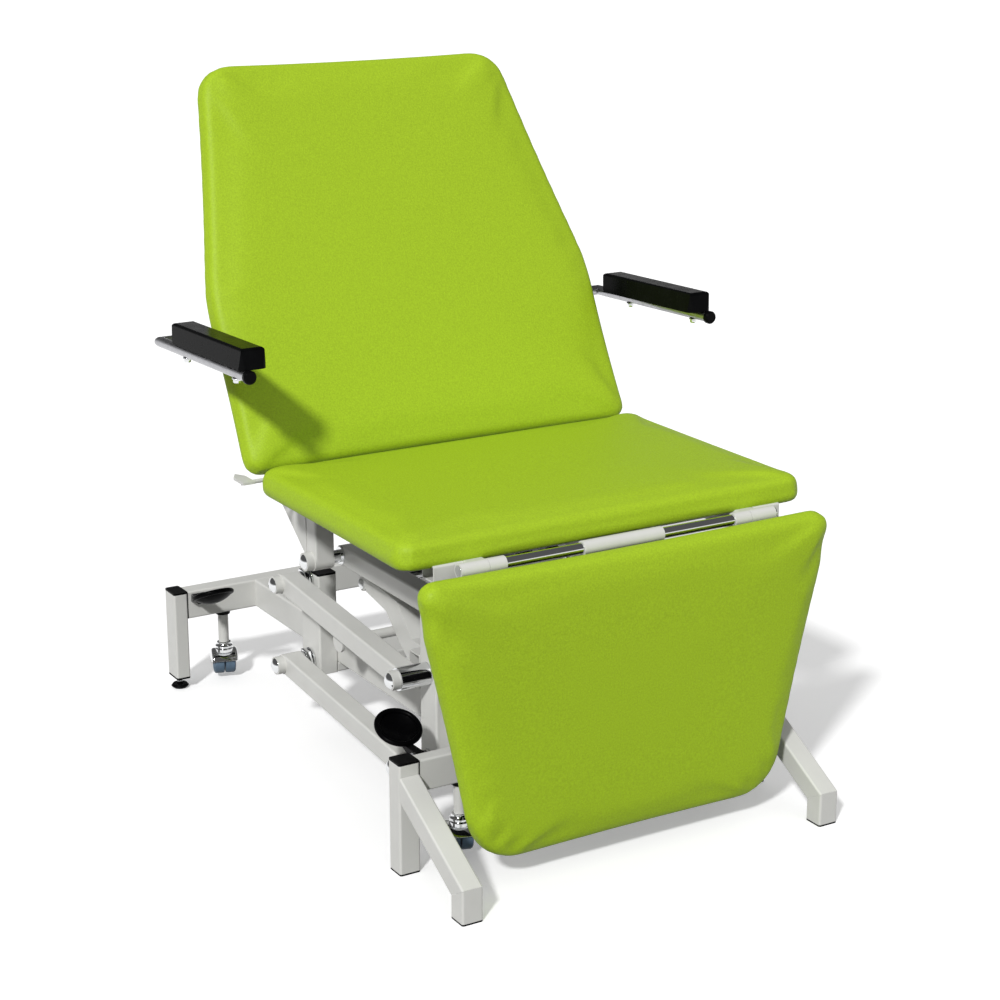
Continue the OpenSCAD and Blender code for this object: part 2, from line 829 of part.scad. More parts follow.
// Shares of the way from the cross tube to the bush, and of the rise, at each bend of a brace
brace_low_shares = [[0, 0], [0.30, 0.06], [0.44, 0.32], [0.63, 0.75], [0.94, 0.9]];
brace_high_shares = [[0.98, 1.14], [0.74, 1.13], [0.46, 1.06], [0.24, 0.50], [0, 0.47]];
module carriage_braces() {
  from_y = cross_y + cross_d / 2 + 2 * weld_gap;
  from_z = cross_z - cross_h / 2;
  span = [bush_y - from_y, bush_z - from_z];
  line = [for (s = concat(brace_low_shares, brace_high_shares))
    [from_y + s[0] * span[0], from_z + s[1] * span[1]]];
  color(white) pair() difference() {
    across(brace_x - brace_w / 2, brace_w) {
      polygon(line);
      translate([bush_y, bush_z]) circle(r = bush_r);
    }
    rod_x(brace_x - brace_w, brace_x + brace_w, bush_y, bush_z, tie_d + 2 * run_fit);
  }
}

module carriage_tie_rod() {
  end = brace_x + brace_w / 2 + ring_t;
  color(chrome) rod_x(-end, end, bush_y, bush_z, tie_d);
}

module carriage_pins() {
  color(chrome) pair() {
    for (z = [front_low_z, front_up_z]) {
      rod_x(upright_x - upright_w / 2, pin_out, front_y0, z, pin_d);
      rod_x(post_x + post_t / 2, post_x + post_t / 2 + ring_t, front_y0, z, sleeve_d);
      dome(pin_out, front_y0, z);
    }
    rod_x(upright_x - upright_w / 2, pin_out, tilt_y, tilt_z, tilt_d);
    rod_x(post_x + post_t / 2, post_x + post_t / 2 + ring_t, tilt_y, tilt_z, boss_d);
    dome(pin_out, tilt_y, tilt_z);
  }
}

// Struts are drawn along Y from their lower pin at the origin

module at_strut(y, z, to_y, to_z) {
  translate([0, y, z]) rotate([atan2(to_z - z, to_y - y), 0, 0]) children();
}

// The tube of a strut with the eye that turns on its lower pin
module strut_tube(x, d, l, rod) {
  start = lug_r + over;
  translate([x, 0, 0]) {
    ring_x(-strut_eye_w / 2, strut_eye_w / 2, 0, 0, 2 * strut_eye_r, strut_pin_d + 2 * run_fit);
    rotate([-90, 0, 0]) {
      translate([0, 0, strut_eye_r - tube_wall / 2])
        cylinder(d = strut_eye_w - 2 * seat_gap, h = start - strut_eye_r + tube_wall);
      translate([0, 0, start]) difference() {
        cylinder(d = d, h = l - start);
        translate([0, 0, 2 * tube_wall]) cylinder(d = rod + 2 * run_fit, h = l);
      }
    }
  }
}

module lift_motor() {
  color(black) at_strut(anchor_y, anchor_z, crank_y, crank_z) {
    ring_x(-eye_w / 2, eye_w / 2, 0, 0, 2 * anchor_eye_r, anchor_pin_d + 2 * run_fit);
    rotate([-90, 0, 0]) {
      translate([0, 0, anchor_eye_r - tube_wall / 2]) cylinder(d = 2 * anchor_eye_r, h = gear_set - anchor_eye_r + tube_wall);
      difference() {
        union() {
          translate([0, 0, gear_set]) cylinder(d = motor_d, h = gear_l);
          translate([0, -motor_d / 2, gear_set]) cube([motor_set, motor_d, gear_l]);
          translate([motor_set, 0, gear_set]) cylinder(d = motor_d, h = gear_l + motor_l);
          translate([0, 0, gear_set]) cylinder(d = lift_tube_d, h = lift_body_l - gear_set);
        }
        translate([0, 0, gear_set + gear_l / 2]) cylinder(d = lift_rod_d + 2 * run_fit, h = lift_body_l);
      }
    }
  }
}

module lift_rod() {
  hole = crank_bar_d + 2 * open_fit;
  from = gear_set + gear_l / 2 + lift_rod_room;
  color(chrome) at_strut(anchor_y, anchor_z, crank_y, crank_z) {
    rotate([-90, 0, 0]) translate([0, 0, from]) cylinder(d = lift_rod_d, h = lift_l - hole / 2 - eye_wall / 2 - from);
    ring_x(-eye_w / 2, eye_w / 2, lift_l, 0, hole + 2 * eye_wall, hole);
  }
}

tilt_strut_l = norm([tilt_head_y - tilt_foot_y, tilt_head_z - tilt_foot_z]);
module tilt_cylinder() {
  color(black) at_strut(tilt_foot_y, tilt_foot_z, tilt_head_y, tilt_head_z)
    strut_tube(0, tilt_tube_d, tilt_tube_l, tilt_rod_d);
}

// A rod that ends in a ring round its pin
module strut_rod(x, from, l, rod, pin, fit, wall) {
  hole = pin + 2 * fit;
  translate([x, 0, 0]) {
    rotate([-90, 0, 0]) translate([0, 0, from]) cylinder(d = rod, h = l - hole / 2 - wall / 2 - from);
    ring_x(-strut_eye_w / 2, strut_eye_w / 2, l, 0, hole + 2 * wall, hole);
  }
}

tilt_open_fit = 0.5;
strut_ring_wall = 4;
module tilt_rod() {
  color(chrome) at_strut(tilt_foot_y, tilt_foot_z, tilt_head_y, tilt_head_z)
    strut_rod(0, 4 * strut_eye_r, tilt_strut_l, tilt_rod_d, strut_pin_d, tilt_open_fit, strut_ring_wall);
}

// Seat frame with its hangers on the tilt shaft, and the sleeves of the front hinge bar
module seat_frame() {
  rail_from = seat_front_y - seat_rail_front;
  rail_to = tilt_y + seat_rail_back;
  rail_mid_z = seat_z - frame_h / 2;
  half = seat_rail_x - seat_rail_w / 2 - weld_gap;
  color(white) {
    pair() lengthwise(rail_from, rail_to - rail_from)
      translate([seat_rail_x, rail_mid_z]) tube_section(seat_rail_w, frame_h);
    pair() difference() {
      union() {
        upward(tilt_z, seat_z - frame_h - weld_gap - tilt_z)
          translate([seat_rail_x, tilt_y]) tube_section(hanger_t, hanger_t);
        rod_x(seat_rail_x - hanger_t / 2, seat_rail_x + hanger_t / 2, tilt_y, tilt_z, hanger_t);
        rod_x(seat_rail_x, pin_out - seat_gap, tilt_y, tilt_z, boss_d);
      }
      rod_x(seat_rail_x - hanger_t, pin_out + boss_l, tilt_y, tilt_z, tilt_d + 2 * run_fit);
    }
    pair() seat_gusset();
    pair() front_sleeve(rail_from);
    pair() across(seat_rail_x + seat_rail_w / 2 + weld_gap, out_x - seat_rail_x - seat_rail_w / 2)
      translate([seat_front_y + out_set, seat_z - out_h / 2]) tube_section(cross_w, out_h);
    for (y = [seat_front_y + front_cross_set, tilt_y - mid_cross_set])
      across(-half, 2 * half) translate([y, seat_z - flat_h / 2]) tube_section(cross_w, flat_h);
    across(-half, 2 * half) translate([tilt_y + rear_cross_set, rail_mid_z]) tube_section(cross_w, frame_h);
    pair() back_hinge_ear();
    tilt_head_lugs();
    back_foot_lugs();
    pair() leg_foot_lugs();
  }
}

out_set = 23;
front_cross_set = 65;
mid_cross_set = 240;
rear_cross_set = -12;
back_bar_h = 8;
strut_room = 8;

// Triangular plate behind a hanger, from the tilt shaft to the rear end of the seat rail
gusset_shares = [[0, 0.98], [1, 0.26], [1, 0]];
module seat_gusset() {
  y0 = tilt_y + hanger_t / 2 + weld_gap;
  z0 = seat_z - frame_h - weld_gap;
  span = [tilt_y + seat_rail_back - y0, z0 - tilt_z];
  across(seat_rail_x + seat_rail_w / 2 - plate_t, plate_t)
    polygon(concat([[y0, z0]], [for (s = gusset_shares) [y0 + s[0] * span[0], z0 - s[1] * span[1]]]));
}

// Outer sleeve of the hinge bar and the nose that joins it to a seat rail
module front_sleeve(rail_from) {
  difference() {
    union() {
      rod_x(outer_sleeve_x + seat_gap, bar_out, leg_hinge_y, leg_hinge_z, bar_sleeve_d);
      translate([outer_sleeve_x + seat_gap, leg_hinge_y, seat_z - frame_h / 2])
        cube([seat_rail_x + seat_rail_w / 2 - outer_sleeve_x - seat_gap, rail_from - leg_hinge_y - weld_gap, frame_h / 2]);
    }
    rod_x(outer_sleeve_x - bar_d, bar_out + over, leg_hinge_y, leg_hinge_z, bar_d + 2 * run_fit);
  }
}

ear_drop = 30;
module back_hinge_ear() {
  x0 = seat_rail_x - seat_rail_w / 2 - hinge_ear_t - weld_gap;
  difference() {
    across(x0, hinge_ear_t) {
      translate([back_hinge_y, back_hinge_z]) circle(r = hinge_ear_r);
      translate([back_hinge_y - hinge_ear_r, back_hinge_z - ear_drop]) square([2 * hinge_ear_r, ear_drop]);
      translate([lever_y, lever_z]) circle(r = hinge_ear_r);
      translate([lever_y - hinge_ear_r, back_hinge_z - ear_drop])
        square([2 * hinge_ear_r, ear_drop + lever_z - back_hinge_z]);
    }
    rod_x(x0 - over, x0 + 2 * hinge_ear_t, back_hinge_y, back_hinge_z, hinge_pin_d + 2 * run_fit);
    rod_x(x0 - over, x0 + 2 * hinge_ear_t, lever_y, lever_z, lever_d + 2 * run_fit);
    translate([x0 - over, tilt_y + rear_cross_set - cross_w / 2 - weld_gap, seat_z - frame_h - over])
      cube([2 * hinge_ear_t, cross_w + 2 * weld_gap, frame_h + over + weld_gap]);
  }
}

// Two lugs in front of a cross tube with a pin between them
module strut_lugs(x, y, z, from_y, from_z, w, h) {
  half = strut_eye_w / 2 + seat_gap;
  for (side = [x - half - strut_lug_t, x + half]) across(side, strut_lug_t) {
    translate([y, z]) circle(r = lug_r);
    translate([from_y, from_z]) square([w, h]);
  }
  rod_x(x - half, x + half, y, z, strut_pin_d);
}

module tilt_head_lugs() {
  front = tilt_y - mid_cross_set - cross_w / 2 - weld_gap;
  strut_lugs(0, tilt_head_y, tilt_head_z, tilt_head_y - lug_r, tilt_head_z,
    front - tilt_head_y + lug_r, seat_z - tilt_head_z - seat_gap);
}

module back_foot_lugs() {
  under = seat_z - frame_h - weld_gap;
  from = tilt_y + rear_cross_set;
  strut_lugs(0, back_foot_y, back_foot_z, from, back_foot_z, back_foot_y - strut_room - from, under - back_foot_z);
}

module leg_foot_lugs() {
  under = seat_z - flat_h - weld_gap;
  strut_lugs(leg_strut_x, leg_strut_y, leg_strut_z, leg_strut_y - lug_r, leg_strut_z,
    tilt_y - mid_cross_set + cross_w / 2 - leg_strut_y + lug_r, under - leg_strut_z);
}

module seat_board() {
  color(ply) translate([0, 0, seat_z]) board_form(seat_outline, seat_radii, 6);
}

module seat_cushion() {
  middle = [0, (seat_front_y + seat_back_y) / 2];
  color(lime) translate([0, 0, seat_z + pocket_gap]) pad_form(seat_outline, seat_radii, 6, 6, middle);
}

bar_cap_t = 4;
module hinge_bars() {
  ear_x = seat_rail_x - seat_rail_w / 2;
  color(chrome) {
    rod_x(-bar_out - seat_gap, bar_out + bar_cap_t, leg_hinge_y, leg_hinge_z, bar_d);
    pair() {
      rod_x(back_rail_x - back_rail_w / 4, ear_x - weld_gap, back_hinge_y, back_hinge_z, hinge_pin_d);
    }
  }
}

// Backrest, drawn flat and turned up about its hinge

module backrest_frame() {
  z_mid = seat_z - back_frame_h / 2;
  y0 = back_y + back_rail_start;
  y1 = back_y + back_l - back_rail_end;
  half = back_rail_x - back_rail_w / 2 - weld_gap;
  color(white) turned(back_angle, back_hinge_y, back_hinge_z) {
    pair() lengthwise(y0, y1 - y0) translate([back_rail_x, z_mid]) tube_section(back_rail_w, back_frame_h);
    across(-half, 2 * half)
      translate([y0 + cross_w / 2, seat_z - back_bar_h / 2]) bar_section(cross_w, back_bar_h, back_bar_h / 4);
    across(-half, 2 * half)
      translate([back_y + back_cross_set + cross_w / 2, z_mid]) tube_section(cross_w, back_frame_h);
    across(-half, 2 * half)
      translate([y1 - cross_w / 2, z_mid]) tube_section(cross_w, back_frame_h);
    pair() difference() {
      across(back_rail_x + back_rail_w / 2 - hinge_ear_t, hinge_ear_t) {
        translate([back_hinge_y, back_hinge_z]) circle(r = hinge_ear_r - seat_gap);
        polygon([
          [back_hinge_y, back_hinge_z], [back_hinge_y, back_hinge_z - hinge_ear_r + seat_gap],
          [y0 - weld_gap, seat_z - back_frame_h], [y0 - weld_gap, seat_z - seat_gap],
          [back_hinge_y + hinge_ear_r / 2, seat_z - seat_gap]
        ]);
      }
      rod_x(0, 2 * back_rail_x, back_hinge_y, back_hinge_z, hinge_pin_d + 2 * run_fit);
    }
    back_head_lugs();
    pair() armrest_socket();
  }
}

back_head_y = back_hinge_y + back_crank_r * cos(back_crank_angle);
back_head_z = back_hinge_z - back_crank_r * sin(back_crank_angle);
module back_head_lugs() {
  front = back_y + back_cross_set - weld_gap;
  strut_lugs(0, back_head_y, back_head_z, back_head_y, back_head_z - lug_r / 2,
    front - back_head_y, lug_r);
}

armrest_axis_y = back_y + armrest_set;
armrest_axis_z = seat_z - armrest_drop;
module armrest_socket() {
  r = armrest_d / 2 + socket_wall;
  under = seat_z - back_frame_h - weld_gap;
  x0 = back_rail_x - back_rail_w / 2;
  difference() {
    union() {
      rod_x(x0, x0 + back_rail_w, armrest_axis_y, armrest_axis_z, 2 * r);
      translate([x0, armrest_axis_y - r, armrest_axis_z]) cube([back_rail_w, 2 * r, under - armrest_axis_z]);
    }
    rod_x(x0 - over, x0 + back_rail_w + over, armrest_axis_y, armrest_axis_z, armrest_d + 2 * run_fit);
  }
}

module backrest_board() {
  color(ply) turned(back_angle, back_hinge_y, back_hinge_z)
    translate([0, 0, seat_z + pocket_gap]) board_form(back_outline, back_radii, 6);
}

module backrest_cushion() {
  middle = [0, back_y + back_l / 2];
  color(lime) turned(back_angle, back_hinge_y, back_hinge_z)
    translate([0, 0, seat_z + pocket_gap]) pad_form(back_outline, back_radii, 6, 5, middle);
}

// The backrest spring at rest reaches from its foot to the turned place of its head
back_rest_head = [back_hinge_y, back_hinge_z] + back_crank_r * [cos(back_angle - back_crank_angle), sin(back_angle - back_crank_angle)];
back_strut_l = norm(back_rest_head - [back_foot_y, back_foot_z]);
module back_spring_cylinder() {
  color(black) at_strut(back_foot_y, back_foot_z, back_rest_head[0], back_rest_head[1])
    strut_tube(0, back_tube_d, back_tube_l, back_rod_d);
}

module back_spring_rod() {
  color(chrome) at_strut(back_foot_y, back_foot_z, back_rest_head[0], back_rest_head[1])
    strut_rod(0, back_rod_start, back_strut_l, back_rod_d, strut_pin_d, back_open_fit, strut_ring_wall);
}

// The flat release lever beside the hinge, on a rod through the gap between the pads
lever_set = 2;
lever_y = tilt_y - lever_set;
lever_rise = 11;
lever_z = seat_z + lever_rise;
lever_d = 8;
lever_t = 5;
lever_w = 24;
lever_fore = 22;
lever_aft = 43;
lever_x = 433;
module release_lever() {
  color(white) {
    rod_x(-lever_x - lever_w / 4, -back_rail_x, lever_y, lever_z, lever_d);
    upward(lever_z + lever_d / 4, lever_t) polygon([
      [-lever_x - lever_w / 2, lever_y - lever_fore], [-lever_x + lever_w / 2, lever_y - lever_fore],
      [-lever_x + lever_w / 2, lever_y + lever_aft / 2], [-lever_x, lever_y + lever_aft],
      [-lever_x - lever_w / 2, lever_y + lever_aft / 2]
    ]);
  }
}

// Armrests, drawn at rest about their cross axis behind the backrest
armrest_rest_axis = [back_hinge_y, back_hinge_z]
  + [armrest_axis_y - back_hinge_y, armrest_axis_z - back_hinge_z] * [
    [cos(back_angle), sin(back_angle)], [-sin(back_angle), cos(back_angle)]];

// The cross tube and the side tube meet in a mitre
module armrest_tube(side) {
  r = armrest_d / 2;
  cut = 4 * armrest_d;
  end_x = back_rail_x - back_rail_w / 2 - ring_t;
  color(chrome) at_armrest(side) {
    difference() {
      rod_x(end_x - armrest_x, r, 0, 0, armrest_d);
      rotate([0, 0, 45]) translate([-cut, weld_gap / 2 - cut, -cut / 2]) cube([2 * cut, cut, cut]);
    }
    difference() {
      translate([0, r, 0]) rotate([90, 0, 0]) cylinder(d = armrest_d, h = armrest_run + r);
      rotate([0, 0, 45]) translate([-cut, -weld_gap / 2, -cut / 2]) cube([2 * cut, cut, cut]);
      translate([0, -armrest_run - over, 0]) rotate([-90, 0, 0])
        cylinder(d = armrest_d - 2 * tube_wall, h = armrest_run / 4);
    }
  }
}

module left_armrest_tube() {
  armrest_tube(-1);
}

module right_armrest_tube() {
  armrest_tube(1);
}

// Places the children at the front end of an armrest tube, in line with it
module at_armrest(side) {
  mirror([side < 0 ? 1 : 0, 0, 0]) translate([armrest_x, armrest_rest_axis[0], armrest_rest_axis[1]])
    rotate([-armrest_rest, 0, 0]) children();
}

// Outline of a block that narrows upwards, with rounded upper edges
module block_outline(w, top_w, h, r) {
  draft = atan2((w - top_w) / 2, h);
  x = w / 2 - (h - r) * tan(draft) - r / cos(draft);
  polygon([
    [-w / 2, 0], [w / 2, 0], [x + r * cos(draft), h - r + r * sin(draft)], [x, h],
    [-x, h], [-x - r * cos(draft), h - r + r * sin(draft)]
  ]);
  for (i = [-x, x]) translate([i, h - r]) circle(r = r);
}

module armrest_pad(side) {
  bottom = armrest_d / 2 + armpad_rise;
  y0 = -armrest_run + armpad_set;
  color(black) at_armrest(side) translate([-armpad_shift, 0, 0]) {
    intersection() {
      lengthwise(y0, armpad_l) translate([0, bottom])
        block_outline(armpad_w, armpad_w * armpad_top_share, armpad_h, armpad_edge_r);
      upward(bottom - over, armpad_h + 2 * over) translate([0, y0 + armpad_l / 2])
        bar_section(armpad_w, armpad_l, armpad_corner_r);
      across(-armpad_w, 2 * armpad_w) translate([y0 + armpad_l / 2, bottom])
        block_outline(armpad_l, armpad_l - 2 * armpad_end_draft, armpad_h, armpad_edge_r);
    }
    for (share = armpad_screw_shares) translate([armpad_shift, y0 + share * armpad_l, 0])
      difference() {
        cylinder(d = armpad_stud_d, h = bottom + over);
        rotate([90, 0, 0]) translate([0, 0, -armpad_l / 2]) cylinder(d = armrest_d + 2 * run_fit, h = armpad_l);
      }
  }
}

armpad_screw_shares = [0.2, 0.8];
armpad_stud_d = 14;

module left_armrest_pad() {
  armrest_pad(-1);
}

module right_armrest_pad() {
  armrest_pad(1);
}

module armrest_cap(side) {
  inner = armrest_d - 2 * tube_wall - 2 * seat_gap;
  color(black) at_armrest(side) translate([0, -armrest_run - weld_gap, 0]) rotate([90, 0, 0]) {
    cylinder(d = armrest_cap_d, h = armrest_cap_l / 2);
    translate([0, 0, armrest_cap_l / 2]) cylinder(d1 = armrest_cap_d, d2 = armrest_d, h = armrest_cap_l / 4);
    translate([0, 0, -plug_l]) cylinder(d = inner, h = plug_l + over);
  }
}

module left_armrest_cap() {
  armrest_cap(-1);
}

module right_armrest_cap() {
  armrest_cap(1);
}

// Legrest, drawn flat in front of the seat and turned down about the hinge bar

module legrest_frame() {
  z_mid = leg_z - leg_frame_h / 2;
  y1 = leg_hinge_y - leg_rail_start;
  y0 = leg_top_y - leg_l + leg_rail_end;
  half = leg_rail_x - leg_rail_w / 2 - weld_gap;
  color(white) turned(leg_angle, leg_hinge_y, leg_hinge_z) {
    pair() lengthwise(y0, y1 - y0) translate([leg_rail_x, z_mid]) tube_section(leg_rail_w, leg_frame_h);
    for (y = [y1 - cross_w / 2, y0 + cross_w / 2])
      across(-half, 2 * half) translate([y, leg_z - leg_cross_h / 2]) tube_section(cross_w, leg_cross_h);
    pair() difference() {
      union() {
        rod_x(leg_sleeve_in, outer_sleeve_x - seat_gap, leg_hinge_y, leg_hinge_z, bar_sleeve_d);
        translate([leg_sleeve_in, y1 + weld_gap, leg_hinge_z - bar_sleeve_d / 2])
          cube([leg_rail_x + leg_rail_w / 2 - leg_sleeve_in, leg_hinge_y - y1 - weld_gap, plate_t]);
      }
      rod_x(leg_sleeve_in - over, outer_sleeve_x + over, leg_hinge_y, leg_hinge_z, bar_d + 2 * run_fit);
    }
    ring_x(-mid_sleeve, mid_sleeve, leg_hinge_y, leg_hinge_z, bar_sleeve_d, bar_d + 2 * run_fit);
    pair() for (x = [leg_plate_in, leg_plate_out]) crank_plate(x, y1 + weld_gap);
    pair() rod_x(leg_plate_in, leg_plate_out + strut_lug_t, leg_head_y, leg_head_z, strut_pin_d);
  }
}

// Plate from the middle sleeve and the knee tube of the legrest to the pin of a spring
module crank_plate(x, tube_y) {
  difference() {
    across(x, strut_lug_t) polygon([
      [leg_hinge_y + bar_sleeve_d / 2 - seat_gap, leg_hinge_z], [tube_y, leg_hinge_z],
      [tube_y, leg_z - leg_cross_h], [leg_head_y - lug_r, leg_head_z],
      [leg_head_y, leg_head_z - lug_r], [leg_head_y + lug_r, leg_head_z]
    ]);
    rod_x(x - over, x + strut_lug_t + over, leg_hinge_y, leg_hinge_z, bar_sleeve_d + 2 * weld_gap);
    rod_x(x - over, x + strut_lug_t + over, leg_head_y, leg_head_z, strut_pin_d + 2 * run_fit);
  }
}

leg_side_gap = 4;
leg_plate_in = leg_strut_x - strut_eye_w / 2 - strut_lug_t - leg_side_gap;
leg_plate_out = leg_strut_x + strut_eye_w / 2 + leg_side_gap;
leg_head_y = leg_hinge_y - leg_crank_r * cos(leg_crank_angle);
leg_head_z = leg_hinge_z - leg_crank_r * sin(leg_crank_angle);

module legrest_board() {
  color(ply) turned(leg_angle, leg_hinge_y, leg_hinge_z)
    translate([0, 0, leg_z]) board_form(leg_outline, leg_radii, 6);
}

module legrest_cushion() {
  middle = [0, leg_top_y - leg_l / 2];
  color(lime) turned(leg_angle, leg_hinge_y, leg_hinge_z)
    translate([0, 0, leg_z + pocket_gap]) pad_form(leg_outline, leg_radii, 6, 5, middle);
}

// The legrest springs lie level under the seat and reach to the turned place of the crank pins
leg_strut_l = leg_strut_y - leg_hinge_y - leg_crank_r * sin(leg_angle - leg_crank_angle);
module leg_spring_cylinder() {
  color(black) at_strut(leg_strut_y, leg_strut_z, leg_hinge_y, leg_strut_z)
    for (x = [-leg_strut_x, leg_strut_x]) strut_tube(x, leg_tube_d, leg_tube_l, leg_rod_d);
}

module leg_spring_rod() {
  color(chrome) at_strut(leg_strut_y, leg_strut_z, leg_hinge_y, leg_strut_z)
    for (x = [-leg_strut_x, leg_strut_x])
      strut_rod(x, 4 * strut_eye_r, leg_strut_l, leg_rod_d, strut_pin_d, leg_open_fit, strut_ring_wall);
}

// Pedals and castors

// A dished pad with a rolled rim, turned up away from its beam on a curved neck
module pedal(beam_face, side, top) {
  pin_y = beam_face + side * pedal_pin_set;
  pin_z = top - pedal_pin_drop;
  pad_y = pin_y + side * pedal_reach;
  pad_z = pin_z + pedal_rise;
  neck_r = pedal_pin_set - 4 * seat_gap;
  bowl_r = (pedal_d * pedal_d / 4 + pedal_bowl_h * pedal_bowl_h) / (2 * pedal_bowl_h);
  function on_pad(y, z) = [pad_y, pad_z]
    + [side * (y * cos(pedal_tilt) - z * sin(pedal_tilt)), y * sin(pedal_tilt) + z * cos(pedal_tilt)];
  translate([pedal_x, pad_y, pad_z]) rotate([side * pedal_tilt, 0, 0]) rotate_extrude() {
    intersection() {
      difference() {
        translate([0, bowl_r - pedal_bowl_h]) circle(r = bowl_r);
        translate([0, bowl_r - pedal_bowl_h + pedal_wall]) circle(r = bowl_r);
      }
      translate([0, -pedal_bowl_h]) square([pedal_d / 2 - pedal_rim_r, pedal_bowl_h]);
    }
    translate([pedal_d / 2 - pedal_rim_r, 0]) circle(r = pedal_rim_r);
  }
  difference() {
    union() {
      rod_x(pedal_x - pedal_neck_w / 2, pedal_x + pedal_neck_w / 2, pin_y, pin_z, 2 * neck_r);
      across(pedal_x - pedal_neck_w / 2, pedal_neck_w) polygon([
        [pin_y, pin_z - neck_r], [pin_y + side * 2 * neck_r, pin_z - neck_r],
        on_pad(neck_r, pedal_wall / 2 - pedal_bowl_h), on_pad(-3 * neck_r, -pedal_bowl_h / 2),
        [pin_y + side * neck_r, pin_z + neck_r], [pin_y, pin_z + neck_r]
      ]);
    }
    rod_x(pedal_x - pedal_neck_w, pedal_x + pedal_neck_w, pin_y, pin_z, pedal_pin_d + 2 * run_fit);
  }
}

module front_pedals() {
  color(black) pair() pedal(front_beam_y + front_beam_d / 2, 1, front_beam_z + beam_h);
}

module rear_pedals() {
  color(black) pair() pedal(rear_beam_y - rear_beam_d / 2, -1, rear_beam_z + beam_h);
}

module castor_stem(y, beam_z) {
  translate([castor_x, y, hood_top + seat_gap])
    cylinder(d = stem_d, h = beam_z + stem_into_beam - hood_top - seat_gap);
}

module front_castor_stems() {
  color(chrome) pair() castor_stem(castor_front_y, front_beam_z);
}

module rear_castor_stems() {
  color(chrome) pair() castor_stem(castor_rear_y, rear_beam_z);
}

// A hood with closed cheeks over twin wheels, open in front, with the axle through its middle web
hood_wall = 2.5;
hood_axle_gap = 2;
hood_web = 8;
hood_neck_d = 42;
hood_cone_h = 10;
hood_neck_rise = 14;
hood_slant = 25;
hood_skirt = 10;
module castor_hood(x, y) {
  r = wheel_d / 2 + hood_axle_gap + hood_wall;
  inner = hood_half - hood_wall;
  color(chrome) translate([x, y, 0]) rotate([0, 0, castor_swivel]) {
    difference() {
      union() {
        translate([0, castor_trail, axle_z]) rotate([0, 90, 0]) cylinder(r = r, h = 2 * hood_half, center = true);
        translate([0, 0, axle_z + hood_neck_rise])
          cylinder(d = hood_neck_d, h = hood_top - hood_cone_h - axle_z - hood_neck_rise);
        translate([0, 0, hood_top - hood_cone_h]) cylinder(d1 = hood_neck_d, d2 = collar_d, h = hood_cone_h);
      }
      for (side = [-1, 1]) translate([0, castor_trail, axle_z]) rotate([0, side * 90, 0])
        translate([0, 0, hood_web / 2]) cylinder(r = r - hood_wall, h = inner - hood_web / 2);
      translate([0, castor_trail, axle_z]) rotate([-hood_slant, 0, 0]) translate([-inner, -hood_d, -hood_d])
        cube([2 * inner, 2 * hood_d, hood_d]);
      translate([-hood_d, castor_trail - hood_d, axle_z - hood_skirt - hood_d])
        cube([2 * hood_d, 2 * hood_d, hood_d]);
    }
    translate([0, castor_trail, axle_z]) {
      rotate([0, 90, 0]) cylinder(d = 2 * axle_d, h = hood_web, center = true);
      rotate([0, 90, 0]) cylinder(d = axle_d, h = 2 * hood_half - hood_wall, center = true);
    }
  }
}

module twin_wheels(x, y) {
  color(tyre) translate([x, y, 0]) rotate([0, 0, castor_swivel]) translate([0, castor_trail, axle_z])
    for (side = [-1, 1]) rotate([0, side * 90, 0]) translate([0, 0, hood_web / 2 + seat_gap])
      rotate_extrude() difference() {
        translate([axle_d / 2 + run_fit, 0]) square([wheel_d / 2 - axle_d / 2 - run_fit, tyre_w]);
        translate([wheel_d / 2, 0]) circle(r = tyre_round);
        translate([wheel_d / 2, tyre_w]) circle(r = tyre_round);
        translate([axle_d, tyre_w - tyre_round / 2]) square([wheel_d / 4, tyre_round]);
      }
}

tyre_round = 3;
castors = [
  ["front_left", -castor_x, castor_front_y], ["front_right", castor_x, castor_front_y],
  ["rear_left", -castor_x, castor_rear_y], ["rear_right", castor_x, castor_rear_y]
];

front_crossbeam();
rear_crossbeam();
side_rails();
rear_posts();
front_legs();
front_braces();
rear_legs();
tube_caps();
foot_inserts();
beam_end_caps();
pedal_brackets();
castor_collars();
rear_pivot_pins();
actuator_mount();
left_levelling_foot();
right_levelling_foot();
upper_arms();
upper_arm_sleeves();
lower_arms();
carriage_frame();
carriage_braces();
carriage_tie_rod();
carriage_pins();
lift_motor();
lift_rod();
tilt_cylinder();
tilt_rod();
seat_frame();
seat_board();
seat_cushion();
hinge_bars();
backrest_frame();
backrest_board();
backrest_cushion();
back_spring_cylinder();
back_spring_rod();
release_lever();
left_armrest_tube();
right_armrest_tube();
left_armrest_pad();
right_armrest_pad();
left_armrest_cap();
right_armrest_cap();
legrest_frame();
legrest_board();
legrest_cushion();
leg_spring_cylinder();
leg_spring_rod();
front_pedals();
rear_pedals();
front_castor_stems();
rear_castor_stems();
castor_hood(-castor_x, castor_front_y);  // front_left_castor_hood
castor_hood(castor_x, castor_front_y);  // front_right_castor_hood
castor_hood(-castor_x, castor_rear_y);  // rear_left_castor_hood
castor_hood(castor_x, castor_rear_y);  // rear_right_castor_hood
twin_wheels(-castor_x, castor_front_y);  // front_left_wheels
twin_wheels(castor_x, castor_front_y);  // front_right_wheels
twin_wheels(-castor_x, castor_rear_y);  // rear_left_wheels
twin_wheels(castor_x, castor_rear_y);  // rear_right_wheels
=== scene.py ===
import json
import math

import bpy
import numpy as np
from mathutils import Matrix, Vector


